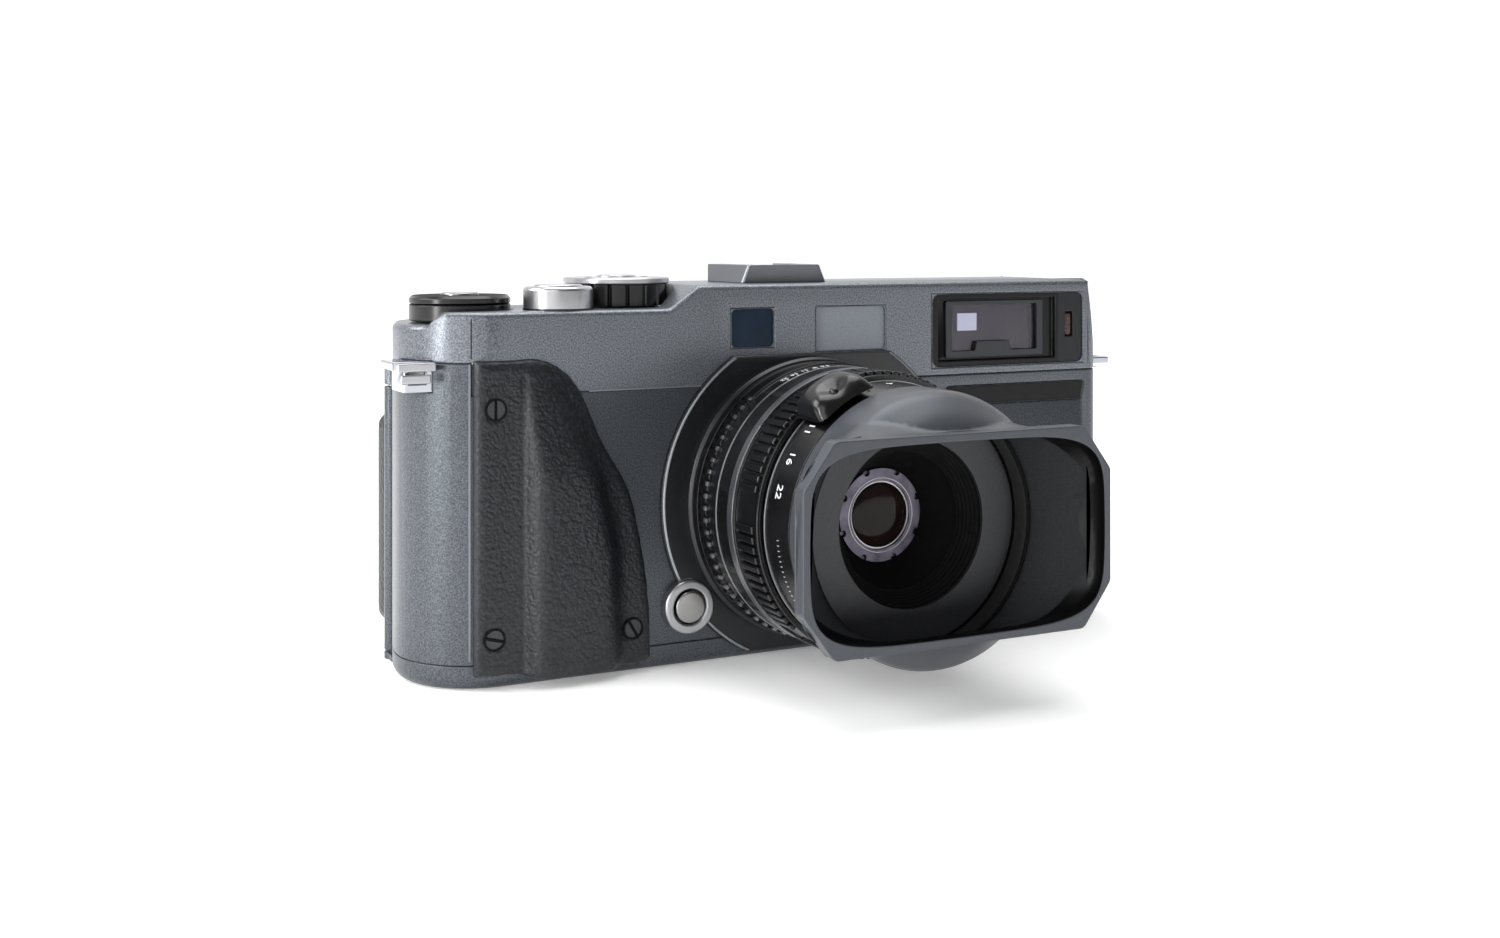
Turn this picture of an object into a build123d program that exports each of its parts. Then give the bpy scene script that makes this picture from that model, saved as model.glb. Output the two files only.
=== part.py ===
from build123d import *
import math
import os

# A panoramic film camera, in millimetres. The origin is the mouth of the tripod socket in the base,
# +Z is up and the lens looks along -Y, so +X is to the right in the front view.

# Body
body_width = 166.0
body_depth = 36.0
bottom_seam = 4.85
top_seam = 58.2
low_deck = 74.6
high_deck = 79.4
wall = 2.0
left_x = -body_width / 2
right_x = body_width / 2
front_y = -body_depth / 2
rear_y = body_depth / 2
lens_x = 2.6
lens_z = 33.75
end_radius = body_depth / 2 - 1.0
end_rear_radius = end_radius + 9.0
corner_radius = 4.0
base_edge = 2.4
deck_edge = 1.2
ramp_blend = 2.0
end_ear_right = left_x + 10.7
end_ear_top = 64.6
cover_lean = 3.8
deck_step_low_x = left_x + 53.2
deck_step_high_x = left_x + 59.9
dial_ledge = 72.0
dial_ledge_inner_x = left_x + 6.6
dial_ledge_outer_x = left_x + 3.1
dial_well_gap = 0.9

# Grip on the front left, with its screws and the finger swelling
grip_thickness = 1.6
grip_swell = 3.6
grip_swell_taper = 42.0
grip_wrap = 2.0
grip_low = 3.0
grip_inner_edge = (
    (left_x + 19.0, 65.0),
    (left_x + 25.5, 64.7),
    (left_x + 30.6, 61.5),
    (left_x + 35.4, 53.0),
    (left_x + 39.1, 45.4),
    (left_x + 42.8, 39.3),
    (left_x + 45.6, 30.0),
    (left_x + 47.4, 20.0),
    (left_x + 48.5, grip_low),
)
grip_swell_outline = (
    (left_x + 20.0, -4.0),
    (left_x + 42.0, -4.0),
    (left_x + 41.0, 27.0),
    (left_x + 37.5, 41.5),
    (left_x + 32.0, 52.5),
    (left_x + 26.0, 63.0),
    (left_x + 20.0, 63.0),
)
grip_slope_low = 42.0
grip_slope_high = 65.0
grip_screw_radius = 2.05
grip_screw_depth = 0.7
grip_screw_places = ((left_x + 14.8, 55.5), (left_x + 14.5, 10.3), (left_x + 44.0, 9.4))
grip_screw_turns = (90, 165, 120)
grip_screw_slot = 0.5
grip_screw_slot_depth = 0.4

# Lens release button on the front
release_button_x = lens_x - 29.0
release_button_z = 12.6
release_button_radius = 3.3
release_stem_radius = 2.0
release_ring_radius = 5.6
release_ring_height = 2.4
release_button_travel = 1.2

# Clearances: between pieces that move against each other, and of a small shaft in its hole
free = 0.3
running = 0.05

# Back door
door_thickness = 2.8
door_low = 1.8
hinge_reach = 4.55
hinge_pin_radius = 0.8
knuckle_radius = 1.7
hinge_ear = 4.0

# Film path and shutter
film_room = 2.9
flange_stand_off = 4.0
frame_length = 65.0
frame_height = 24.0
gate_thickness = 1.2
gate_margin = 3.5
bay_margin = 3.6
plate_lap = 1.4
bay_left = lens_x - frame_length / 2 - bay_margin
bay_right = lens_x + frame_length / 2 + bay_margin
front_wall = 4.0
take_up_x = bay_left - 16.7
take_up_bore = 11.8
spool_radius = 7.0
spool_wall = 1.4
cassette_x = bay_right + 19.3
cassette_bore = 13.2
chamber_floor = 11.0
chamber_roof = 55.5
end_pocket = 7.8
leaf_thickness = 0.25
leaf_pitch = 0.6
leaf_lap = 0.6
mask_thickness = 0.6
mask_height = 27.0
mask_inset = 1.2
short_frame_length = 36.0
tunnel_front = front_y + 6.4
tunnel_mouth = 42.0
tunnel_wall = 0.9

# Outside of the door
thumb_low = 6.5
thumb_high = 52.0
thumb_edge = 2.0
thumb_end_points = (
    (left_x + 2.6, 0.0),
    (left_x + 2.0, 4.0),
    (left_x + 3.6, 8.2),
    (left_x + 7.0, 9.0),
)
thumb_slope_points = ((left_x + 7.0, 9.0), (left_x + 17.0, 7.4), (left_x + 31.0, 0.0))
film_window_x = right_x - 20.0
film_window_width = 5.0
film_window_low = 22.0
film_window_height = 24.0
display_x = lens_x + 5.4
display_width = 30.0
display_low = 6.0
display_height = 8.0

latch_y = 4.0
latch_low = 28.0
latch_length = 11.0
latch_width = 4.0
latch_travel = 3.5
latch_button = 1.4

# Strap lugs
lug_tip = left_x - 4.0
lug_root = left_x + 4.4
lug_front = -12.0
lug_back = -3.0
lug_low = 58.8
lug_high = 65.0
lug_arm = 1.8
lug_plate = 1.6
right_lug_y = -11.0
right_lug_low = 59.0
right_lug_root = 2.0
right_lug_reach = 5.6
right_lug_length = 8.0

# Batteries
battery_x = left_x + 11.6
battery_y = -1.5
battery_radius = 7.75
battery_length = 26.4
battery_cap_radius = 8.2
battery_cap_thickness = 3.9
cap_sink = 0.3

# Tripod socket, quarter inch
tripod_bore = 3.175
tripod_depth = 7.0
tripod_bush_radius = 6.9

# Lens, radii about its axis and distances in front of the body's front face
boss_radius = 36.2
boss_x = lens_x + 1.2
boss_top = 64.3
boss_low = 1.5
boss_thickness = 1.5
boss_edge = 0.4
mount_radius = 30.0
throat_radius = 22.2
lens_flange_front = 6.0
tooth_ring_radius = 29.2
tooth_ring_front = 10.0
tooth_count = 58
scale_end = 130.0
scale_arc = 80.0
tooth_radius = 0.75
barrel_radius = 28.7
barrel_front = 21.3
barrel_bore = 25.5
focus_ring_radius = 28.0
focus_ring_inner = 26.6
focus_ring_front = 30.7
focus_rib_groups = 6
focus_rib_count = 12
focus_rib_start = 122.0
focus_rib_arc = 48.0
tab_start = 110.0
tab_end = 138.0
tab_radius = 31.6
tab_front = 39.8
core_radius = 25.2
core_neck = 24.0
core_rear = 9.0
aperture_rear = 31.2
aperture_front = 40.2
aperture_radius = 27.0
aperture_front_radius = 26.3
rim_radius = 25.6
rim_front = 46.2
filter_radius = 24.5
bowl_radius = 16.5
bowl_front = 41.2
bowl_floor = 29.5
cell_radius = 9.5
cell_front = 30.3
web_rear = 27.0
front_glass_radius = 6.0
rear_glass_radius = 10.0
rear_glass_back = 15.0
rear_glass_front = 18.0
hood_collar_rear = 41.0
hood_collar_radius = 26.7
hood_flare_start = 46.0
hood_flare_radius = 26.1
hood_crest = 53.0
hood_rim_rear = 56.5
hood_front = 60.0
hood_width = 68.3
hood_height = 39.1
hood_corner_x = 6.5
hood_corner_z = 8.6
hood_wall = 1.6
hood_points = 40
hood_squareness = 4.8
hood_corner_round = 2.0
hood_dome_straight = 49.0
hood_dome_front = 57.5

# Iris
blade_count = 5
blade_inner = 6.3
blade_outer = 9.2
blade_sweep = 112.0
blade_thickness = 0.2
blade_pitch = 0.5
blade_rear = 23.2
iris_pivot = 10.0
iris_pin = 0.45

# Top controls
mode_x = left_x + 13.5
mode_radius = 10.35
mode_top = 77.6
lock_radius = 3.9
lock_travel = 0.8
release_x = left_x + 31.3
release_y = front_y + 8.0
release_collar_radius = 7.2
release_collar_top = 79.4
release_radius = 5.0
release_travel = 1.5
collar_floor = 1.4
speed_x = left_x + 48.4
comp_radius = 11.1
comp_top = 79.5
speed_radius = 11.4
speed_top = 80.9
flute_count = 28
shaft_radius = 2.0

# Finder
bezel_left = right_x - 48.0
bezel_right = right_x - 5.2
bezel_low = 59.9
bezel_high = 76.65
window_left = right_x - 42.0
window_right = right_x - 17.9
window_low = 63.3
window_high = 74.1
eyepiece_radius = 8.5
window_fit = 0.2
range_left = lens_x - 18.4
range_right = lens_x - 7.9
range_low = 65.9
range_high = 74.3
frost_left = lens_x + 2.3
frost_right = lens_x + 20.1
frost_low = 64.6
frost_high = 74.4
bezel_set_back = 0.3
bezel_recess = 1.5
pane_thickness = 1.2
lamp_left = right_x - 10.2
lamp_width = 2.2
lamp_low = 66.15
lamp_high = 71.9
eyepiece_x = right_x - 30.0
eyepiece_z = 68.5
eyepiece_depth = 3.0
selector_x = lens_x - 10.6
selector_radius = 6.0
selector_height = 2.6

# Hot shoe
shoe_x = lens_x
shoe_width = 21.4
shoe_floor = 1.2
shoe_mouth = 12.6
shoe_depth = 18.0
shoe_height = 4.0
shoe_front = -8.0
foot_width = 18.7
foot_height = 2.1

# Name plate recess, left bare
plate_left = right_x - 45.0
plate_right = right_x - 4.6
plate_low = 51.2
plate_high = 55.5
plate_slant = 1.2
plate_depth = 0.4

# Positions that follow
shaft_foot = dial_ledge - wall - 1.5
door_inner = rear_y - door_thickness
chassis_back = door_inner - free
hinge_y = rear_y - knuckle_radius
door_high = top_seam - free
film_y = door_inner - film_room
take_up_y = film_y - 11.1
cassette_y = film_y - 10.7
gate_front = film_y - gate_thickness
leaf_height = frame_height / 2 + 2 * leaf_lap
curtain_low = lens_z - frame_height / 2 - leaf_lap
curtain_high = lens_z + frame_height / 2 + leaf_lap
tunnel_back = film_y - 4.7
mask_pivot_y = tunnel_back - 1.0
tunnel_height = frame_height + 6.0
mask_width = (bay_right - bay_left - short_frame_length) / 2 - tunnel_wall - mask_inset

tip_y = front_y + end_radius
os.makedirs("parts", exist_ok=True)


def front_plane(distance):
    """The plane parallel to the front face at a distance in front of it: x is X and y is Z."""
    return Plane(origin=(0, front_y - distance, 0), x_dir=(1, 0, 0), z_dir=(0, -1, 0))


def lens_plane(distance):
    """As front_plane, with its origin on the lens axis."""
    return Plane(origin=(lens_x, front_y - distance, lens_z), x_dir=(1, 0, 0), z_dir=(0, -1, 0))


def rear_plane(y):
    """The plane at y facing backwards: its x is X and its y is Z, and extruding goes forwards."""
    return Plane(origin=(0, y, 0), x_dir=(1, 0, 0), z_dir=(0, -1, 0))


def end_outline_x(y):
    """Where the outline's round left end lies at y, behind its tip."""
    rear_angle = math.asin((y - tip_y) / end_rear_radius)
    return left_x + end_rear_radius * (1 - math.cos(rear_angle))


def plan_outline(back):
    """The body's outline seen from above: a flat front, a round left end and a small right corner."""
    rear_centre = left_x + end_rear_radius
    rear_angle = math.degrees(math.asin((back - tip_y) / end_rear_radius))
    rear_left = end_outline_x(back)
    with BuildSketch() as plan:
        with BuildLine():
            Line((left_x + end_radius, front_y), (right_x - corner_radius, front_y))
            CenterArc((right_x - corner_radius, front_y + corner_radius), corner_radius, -90, 90)
            Line((right_x, front_y + corner_radius), (right_x, back - corner_radius))
            CenterArc((right_x - corner_radius, back - corner_radius), corner_radius, 0, 90)
            Line((right_x - corner_radius, back), (rear_left, back))
            CenterArc((rear_centre, tip_y), end_rear_radius, 180 - rear_angle, rear_angle)
            CenterArc((left_x + end_radius, tip_y), end_radius, 180, 90)
        make_face()
    return plan.sketch


def box_between(low, high, mode=Mode.ADD):
    """A box between two opposite corners."""
    size = [b - a for a, b in zip(low, high)]
    middle = [(a + b) / 2 for a, b in zip(low, high)]
    with Locations(tuple(middle)):
        Box(*size, mode=mode)


def ring(outer, inner, rear, front, mode=Mode.ADD):
    """A ring, or with inner 0 a disc, about the lens axis, between two distances in front of the body."""
    with BuildSketch(lens_plane(rear)) as profile:
        Circle(outer)
        if inner > 0:
            Circle(inner, mode=Mode.SUBTRACT)
    extrude(profile.sketch, amount=front - rear, mode=mode)


def post(x, y, radius, low, high, mode=Mode.ADD):
    """An upright cylinder."""
    with BuildSketch(Plane.XY.offset(low)) as profile:
        with Locations((x, y)):
            Circle(radius)
    extrude(profile.sketch, amount=high - low, mode=mode)


hinge_x = end_outline_x(rear_y) - hinge_reach

# Main casting: front wall, both ends and the film chambers, open at the back and below
with BuildPart() as body_shell:
    with BuildSketch(Plane.XY.offset(bottom_seam)):
        add(plan_outline(chassis_back))
    extrude(amount=end_ear_top - bottom_seam)
    with BuildSketch(front_plane(0)):
        with BuildLine():
            Polyline(
                (end_ear_right, top_seam),
                (end_ear_right, end_ear_top),
                (right_x, end_ear_top),
                (right_x, top_seam),
                close=True,
            )
        make_face()
    extrude(amount=-body_depth, mode=Mode.SUBTRACT)
    # shutter bay and the lens throat in the front wall
    box_between(
        (bay_left, front_y + front_wall, bottom_seam), (bay_right, chassis_back, top_seam), Mode.SUBTRACT
    )
    ring(throat_radius, 0, -front_wall, 0, Mode.SUBTRACT)
    # take-up chamber, cassette chamber and the film pocket behind them
    post(take_up_x, take_up_y, take_up_bore, chamber_floor, top_seam, Mode.SUBTRACT)
    post(take_up_x, take_up_y, shaft_radius + running, bottom_seam, chamber_floor, Mode.SUBTRACT)
    post(cassette_x, cassette_y, cassette_bore, chamber_floor, chamber_roof, Mode.SUBTRACT)
    post(cassette_x, cassette_y, shaft_radius + running, chamber_roof, top_seam, Mode.SUBTRACT)
    box_between(
        (take_up_x - take_up_bore + 1, take_up_y, chamber_floor + 1),
        (take_up_x + take_up_bore - 1, chassis_back, chamber_roof),
        Mode.SUBTRACT,
    )
    box_between(
        (cassette_x - cassette_bore + 1, cassette_y, chamber_floor + 1),
        (cassette_x + cassette_bore - 1, chassis_back, chamber_roof),
        Mode.SUBTRACT,
    )
    box_between(
        (take_up_x - take_up_bore, gate_front, chamber_floor + 1),
        (cassette_x + cassette_bore, chassis_back, chamber_roof),
        Mode.SUBTRACT,
    )
    # battery tube, and a lightening pocket in the right end
    post(battery_x, battery_y, battery_radius + free, bottom_seam, end_ear_top - wall, Mode.SUBTRACT)
    box_between(
        (right_x - wall - end_pocket, front_y + front_wall, bottom_seam),
        (right_x - wall, gate_front - wall, top_seam),
        Mode.SUBTRACT,
    )
    # hole of the lens release button
    with BuildSketch(front_plane(0)):
        with Locations((release_button_x, release_button_z)):
            Circle(release_stem_radius + running)
    extrude(amount=-front_wall, mode=Mode.SUBTRACT)
    # recess of the bare name plate
    with BuildSketch(front_plane(0)) as name_recess:
        Polygon(
            (plate_left, plate_low),
            (plate_right - plate_slant, plate_low),
            (plate_right, plate_high),
            (plate_left + plate_slant, plate_high),
            align=None,
        )
        fillet(name_recess.vertices(), 0.8)
    extrude(amount=-plate_depth, mode=Mode.SUBTRACT)
    # recess of the left strap lug
    box_between((left_x - 1, lug_front, lug_low), (lug_root, lug_back, lug_high), Mode.SUBTRACT)
    # slot of the door latch in the right end
    box_between(
        (right_x - wall - 1, latch_y - latch_width / 2 - free, latch_low - latch_travel - free),
        (right_x + 1, latch_y + latch_width / 2 + free, latch_low + latch_length + free),
        Mode.SUBTRACT,
    )
body_shell.part.label = "body_shell"
export_step(body_shell.part, "parts/body_shell.step")

# Bottom cover: a shallow tray with the holes of the tripod bush and the battery cap
with BuildPart() as bottom_cover:
    with BuildSketch():
        add(plan_outline(chassis_back))
    extrude(amount=bottom_seam)
    fillet(bottom_cover.faces().sort_by(Axis.Z)[0].edges(), base_edge)
    with BuildSketch(Plane.XY.offset(wall - 0.2)):
        add(plan_outline(chassis_back))
        offset(amount=-wall, mode=Mode.REPLACE)
    extrude(amount=bottom_seam, mode=Mode.SUBTRACT)
    post(0, 0, tripod_bush_radius, 0, bottom_seam, Mode.SUBTRACT)
    post(battery_x, battery_y, battery_cap_radius + free, 0, bottom_seam, Mode.SUBTRACT)
    # ear that carries the foot of the hinge pin
    post(hinge_x, hinge_y, knuckle_radius, 0, door_low - free)
    box_between(
        (hinge_x - knuckle_radius + 0.3, chassis_back - 3.2, 0.2), (hinge_x + 4, hinge_y, door_low - free)
    )
    post(hinge_x, hinge_y, hinge_pin_radius, 0.4, door_low, Mode.SUBTRACT)
bottom_cover.part.label = "bottom_cover"
export_step(bottom_cover.part, "parts/bottom_cover.step")

# Top cover: a shell with a low deck for the dials, a step and a high deck over the finder
with BuildPart() as top_cover:
    with BuildSketch(Plane.XY.offset(top_seam)):
        add(plan_outline(rear_y))
    extrude(amount=high_deck - top_seam)
    with BuildSketch(front_plane(0)) as elevation:
        with BuildLine():
            Polyline(
                (left_x - 1, top_seam),
                (left_x - 1, dial_ledge),
                (dial_ledge_outer_x, dial_ledge),
                (dial_ledge_inner_x, low_deck),
                (deck_step_low_x, low_deck),
                (deck_step_high_x, high_deck),
                (right_x - cover_lean, high_deck),
                (right_x, top_seam),
                close=True,
            )
        make_face()
        step_corners = elevation.vertices().filter_by_position(Axis.X, dial_ledge_outer_x - 1, bay_left)
        fillet(step_corners, deck_edge)
        ramp_corners = elevation.vertices().filter_by_position(
            Axis.X, deck_step_low_x - 1, deck_step_high_x + 1
        )
        fillet(ramp_corners, ramp_blend)
    extrude(amount=-body_depth, mode=Mode.INTERSECT)
    upward_faces = top_cover.faces().filter_by(lambda face: face.normal_at().Z > 0.5)
    decks = upward_faces.filter_by(lambda face: face.center().Z > dial_ledge - 1)
    fillet(
        decks.edges().filter_by(lambda edge: abs(abs(edge.center().Y) - body_depth / 2) < 0.01),
        deck_edge,
    )
    # hollow, lower under the dials
    with BuildSketch(Plane.XY.offset(top_seam)):
        add(plan_outline(rear_y))
        offset(amount=-wall, mode=Mode.REPLACE)
        with Locations((deck_step_high_x + wall, 0)):
            Rectangle(body_width, 2 * body_depth, align=(Align.MAX, Align.CENTER), mode=Mode.INTERSECT)
    extrude(amount=dial_ledge - wall - top_seam, mode=Mode.SUBTRACT)
    with BuildSketch(Plane.XY.offset(top_seam)):
        add(plan_outline(rear_y))
        offset(amount=-wall, mode=Mode.REPLACE)
        with Locations((deck_step_high_x + wall, 0)):
            Rectangle(
                right_x - cover_lean - wall - deck_step_high_x - wall,
                2 * body_depth,
                align=(Align.MIN, Align.CENTER),
                mode=Mode.INTERSECT,
            )
    extrude(amount=high_deck - wall - top_seam, mode=Mode.SUBTRACT)
    # the ear of the casting, the strap lug recess and the wells round the dials
    box_between(
        (left_x - 1, front_y - 1, top_seam),
        (end_ear_right, chassis_back, end_ear_top),
        Mode.SUBTRACT,
    )
    box_between((left_x - 1, lug_front, top_seam), (lug_root, lug_back, lug_high), Mode.SUBTRACT)
    box_between(
        (right_x - right_lug_root, right_lug_y - right_lug_length / 2, right_lug_low),
        (right_x + 1, right_lug_y + right_lug_length / 2, right_lug_low + lug_plate),
        Mode.SUBTRACT,
    )
    # the ledge of the mode dial: round in front of the dial, open to the left and to the rear
    with BuildSketch(Plane.XY.offset(dial_ledge)):
        with Locations((mode_x, 0)):
            Circle(mode_radius + dial_well_gap)
            Rectangle(body_width, 2 * (mode_radius + dial_well_gap), align=(Align.MAX, Align.CENTER))
            Rectangle(body_width, body_depth, align=(Align.MAX, Align.MIN))
    extrude(amount=high_deck - dial_ledge, mode=Mode.SUBTRACT)
    post(speed_x, 0, speed_radius + 0.8, low_deck, high_deck + 1, Mode.SUBTRACT)
    post(mode_x, 0, shaft_radius + running, dial_ledge - wall - 1, dial_ledge, Mode.SUBTRACT)
    post(speed_x, 0, shaft_radius + running, dial_ledge - wall - 1, low_deck, Mode.SUBTRACT)
    post(release_x, release_y, shaft_radius + running, dial_ledge - wall - 1, low_deck, Mode.SUBTRACT)
    # openings of the three windows, the eyepiece and the format selector
    box_between(
        (bezel_left, front_y - 1, bezel_low),
        (bezel_right, front_y + wall + 3, bezel_high),
        Mode.SUBTRACT,
    )
    box_between(
        (range_left, front_y - 1, range_low),
        (range_right, front_y + wall + 1, range_high),
        Mode.SUBTRACT,
    )
    box_between(
        (frost_left, front_y - 1, frost_low),
        (frost_right, front_y + wall + 1, frost_high),
        Mode.SUBTRACT,
    )
    with BuildSketch(rear_plane(rear_y + 1)):
        with Locations((eyepiece_x, eyepiece_z)):
            Circle(eyepiece_radius - 2)
        with Locations((selector_x, eyepiece_z)):
            Circle(shaft_radius + running)
    extrude(amount=wall + 2, mode=Mode.SUBTRACT)
    # ear that holds the head of the hinge pin
    post(hinge_x, hinge_y, knuckle_radius, top_seam, top_seam + hinge_ear)
    box_between((hinge_x, door_inner, top_seam), (hinge_x + 6, rear_y, top_seam + hinge_ear))
    post(hinge_x, hinge_y, hinge_pin_radius, top_seam, top_seam + hinge_ear - 1, Mode.SUBTRACT)
top_cover.part.label = "top_cover"
export_step(top_cover.part, "parts/top_cover.step")


# Grip: a grained rubber plate on the front left, with a swelling for the fingers
with BuildPart() as grip_panel:
    with BuildSketch(front_plane(-grip_wrap)):
        with BuildLine():
            inner_edge = Spline(*grip_inner_edge)
            Polyline(
                inner_edge @ 1,
                (grip_inner_edge[-1][0] - 1.7, grip_low - 1.3),
                (end_ear_right, grip_low),
                (end_ear_right, grip_inner_edge[0][1]),
                inner_edge @ 0,
            )
        make_face()
    extrude(amount=grip_wrap + grip_thickness)
    with BuildSketch(front_plane(grip_thickness)):
        Polygon(*grip_swell_outline, align=None)
    extrude(amount=grip_swell, taper=grip_swell_taper)
    # the swelling dies out towards the top, and it ends with the panel's lower edge
    with BuildSketch(Plane.YZ.offset(left_x)):
        Polygon(
            (front_y - grip_thickness, grip_slope_high),
            (front_y - grip_thickness - grip_swell, grip_slope_low),
            (front_y - grip_thickness - grip_swell - 1, grip_slope_low),
            (front_y - grip_thickness - grip_swell - 1, grip_slope_high),
            align=None,
        )
        Polygon(
            (front_y - grip_thickness, grip_low - 1.3),
            (front_y - grip_thickness - grip_swell - 1, grip_low - 1.3),
            (front_y - grip_thickness - grip_swell - 1, -2 * grip_low),
            (front_y - grip_thickness, -2 * grip_low),
            align=None,
        )
    extrude(amount=body_width, mode=Mode.SUBTRACT)
    with BuildSketch(Plane.XY):
        add(plan_outline(chassis_back))
    extrude(amount=high_deck, mode=Mode.SUBTRACT)
    for x, z in grip_screw_places:
        with BuildSketch(front_plane(grip_thickness - grip_screw_depth)):
            with Locations((x, z)):
                Circle(grip_screw_radius)
        extrude(amount=grip_screw_depth + grip_swell, mode=Mode.SUBTRACT)
grip_panel.part.label = "grip_panel"
export_step(grip_panel.part, "parts/grip_panel.step")

# Three slotted screws sunk in the grip
with BuildPart() as grip_screws:
    for (x, z), turn in zip(grip_screw_places, grip_screw_turns):
        with BuildSketch(front_plane(grip_thickness - grip_screw_depth)):
            with Locations((x, z)):
                Circle(grip_screw_radius)
        extrude(amount=grip_screw_depth)
        with BuildSketch(front_plane(grip_thickness - grip_screw_slot_depth)):
            with Locations((x, z)):
                Rectangle(2 * grip_screw_radius, grip_screw_slot, rotation=turn)
        extrude(amount=grip_screw_slot_depth, mode=Mode.SUBTRACT)
grip_screws.part.label = "grip_screws"
export_step(grip_screws.part, "parts/grip_screws.step")

# Black escutcheon behind the lens, cut flat above and below
with BuildPart() as lens_boss:
    with BuildSketch(front_plane(0)):
        with Locations((boss_x, lens_z)):
            Circle(boss_radius)
        with Locations((boss_x, boss_low)):
            Rectangle(
                3 * boss_radius, boss_top - boss_low, align=(Align.CENTER, Align.MIN), mode=Mode.INTERSECT
            )
        with Locations((lens_x, lens_z)):
            Circle(mount_radius, mode=Mode.SUBTRACT)
    extrude(amount=boss_thickness)
    chamfer(lens_boss.faces().sort_by(Axis.Y)[0].outer_wire().edges(), boss_edge)
    with BuildSketch(front_plane(0)):
        with Locations((release_button_x, release_button_z)):
            Circle(release_ring_radius)
    extrude(amount=boss_thickness, mode=Mode.SUBTRACT)
    with BuildSketch(Plane.XY):
        add(plan_outline(chassis_back))
    extrude(amount=high_deck, mode=Mode.SUBTRACT)
lens_boss.part.label = "lens_boss"
export_step(lens_boss.part, "parts/lens_boss.step")

# Bayonet ring of the body
with BuildPart() as body_mount_ring:
    ring(mount_radius, throat_radius, 0, flange_stand_off)
    chamfer(
        body_mount_ring.faces().sort_by(Axis.Y)[0].outer_wire().edges(),
        0.6,
    )
body_mount_ring.part.label = "body_mount_ring"
export_step(body_mount_ring.part, "parts/body_mount_ring.step")

# Silver collar of the lens release button, and the button with its pin
with BuildPart() as release_ring:
    with BuildSketch(front_plane(0)):
        with Locations((release_button_x, release_button_z)):
            Circle(release_ring_radius)
            Circle(release_button_radius + free, mode=Mode.SUBTRACT)
    extrude(amount=release_ring_height)
    chamfer(release_ring.faces().sort_by(Axis.Y)[0].edges(), 0.35)
release_ring.part.label = "release_ring"
export_step(release_ring.part, "parts/release_ring.step")

with BuildPart() as lens_release_button:
    with BuildSketch(front_plane(release_button_travel)):
        with Locations((release_button_x, release_button_z)):
            Circle(release_button_radius)
    extrude(amount=release_ring_height - release_button_travel + 0.3)
    fillet(lens_release_button.faces().sort_by(Axis.Y)[0].edges(), 0.4)
    with BuildSketch(front_plane(-front_wall - 1)):
        with Locations((release_button_x, release_button_z)):
            Circle(release_stem_radius)
    extrude(amount=front_wall + 1 + release_button_travel)
lens_release_button.part.label = "lens_release_button"
export_step(lens_release_button.part, "parts/lens_release_button.step")

# Finder: bezel with a deep recess, its panes and the self-timer lamp
with BuildPart() as viewfinder_bezel:
    box_between(
        (bezel_left, front_y + bezel_set_back, bezel_low),
        (bezel_right, front_y + wall + 3, bezel_high),
    )
    box_between(
        (bezel_left + 2, front_y, bezel_low + 1.4),
        (lamp_left - 3, front_y + bezel_recess, bezel_high - 1.2),
        Mode.SUBTRACT,
    )
    box_between(
        (window_left, front_y, window_low), (window_right, front_y + wall + 4, window_high), Mode.SUBTRACT
    )
    box_between(
        (lamp_left, front_y, lamp_low), (lamp_left + lamp_width, front_y + wall + 4, lamp_high), Mode.SUBTRACT
    )
viewfinder_bezel.part.label = "viewfinder_bezel"
export_step(viewfinder_bezel.part, "parts/viewfinder_bezel.step")

with BuildPart() as viewfinder_window:
    box_between(
        (window_left, front_y + wall, window_low),
        (window_right, front_y + wall + pane_thickness, window_high),
    )
viewfinder_window.part.label = "viewfinder_window"
export_step(viewfinder_window.part, "parts/viewfinder_window.step")

with BuildPart() as rangefinder_window:
    box_between((range_left, front_y + window_fit, range_low), (range_right, front_y + wall, range_high))
rangefinder_window.part.label = "rangefinder_window"
export_step(rangefinder_window.part, "parts/rangefinder_window.step")

with BuildPart() as illumination_window:
    box_between((frost_left, front_y + window_fit, frost_low), (frost_right, front_y + wall, frost_high))
illumination_window.part.label = "illumination_window"
export_step(illumination_window.part, "parts/illumination_window.step")

with BuildPart() as self_timer_lamp:
    box_between(
        (lamp_left, front_y + bezel_set_back + window_fit, lamp_low),
        (lamp_left + lamp_width, front_y + wall + 2, lamp_high),
    )
self_timer_lamp.part.label = "self_timer_lamp"
export_step(self_timer_lamp.part, "parts/self_timer_lamp.step")

# Block of glass and mirrors behind the finder window, a tube to the eyepiece
with BuildPart() as viewfinder_block:
    box_between(
        (window_left + 1, front_y + 5.0, window_low),
        (window_right - 1, rear_y - wall, high_deck - wall),
    )
viewfinder_block.part.label = "viewfinder_block"
export_step(viewfinder_block.part, "parts/viewfinder_block.step")

# Eyepiece: a rubber-rimmed ring on the back of the top cover, with its glass
with BuildPart() as eyepiece_frame:
    with BuildSketch(rear_plane(rear_y + eyepiece_depth)):
        with Locations((eyepiece_x, eyepiece_z)):
            Circle(eyepiece_radius)
            Circle(eyepiece_radius - 3, mode=Mode.SUBTRACT)
    extrude(amount=eyepiece_depth)
    fillet(eyepiece_frame.faces().sort_by(Axis.Y)[-1].outer_wire().edges(), 0.8)
    with BuildSketch(rear_plane(rear_y)):
        with Locations((eyepiece_x, eyepiece_z)):
            Circle(eyepiece_radius - 2)
            Circle(eyepiece_radius - 3, mode=Mode.SUBTRACT)
    extrude(amount=wall)
eyepiece_frame.part.label = "eyepiece_frame"
export_step(eyepiece_frame.part, "parts/eyepiece_frame.step")

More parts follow.
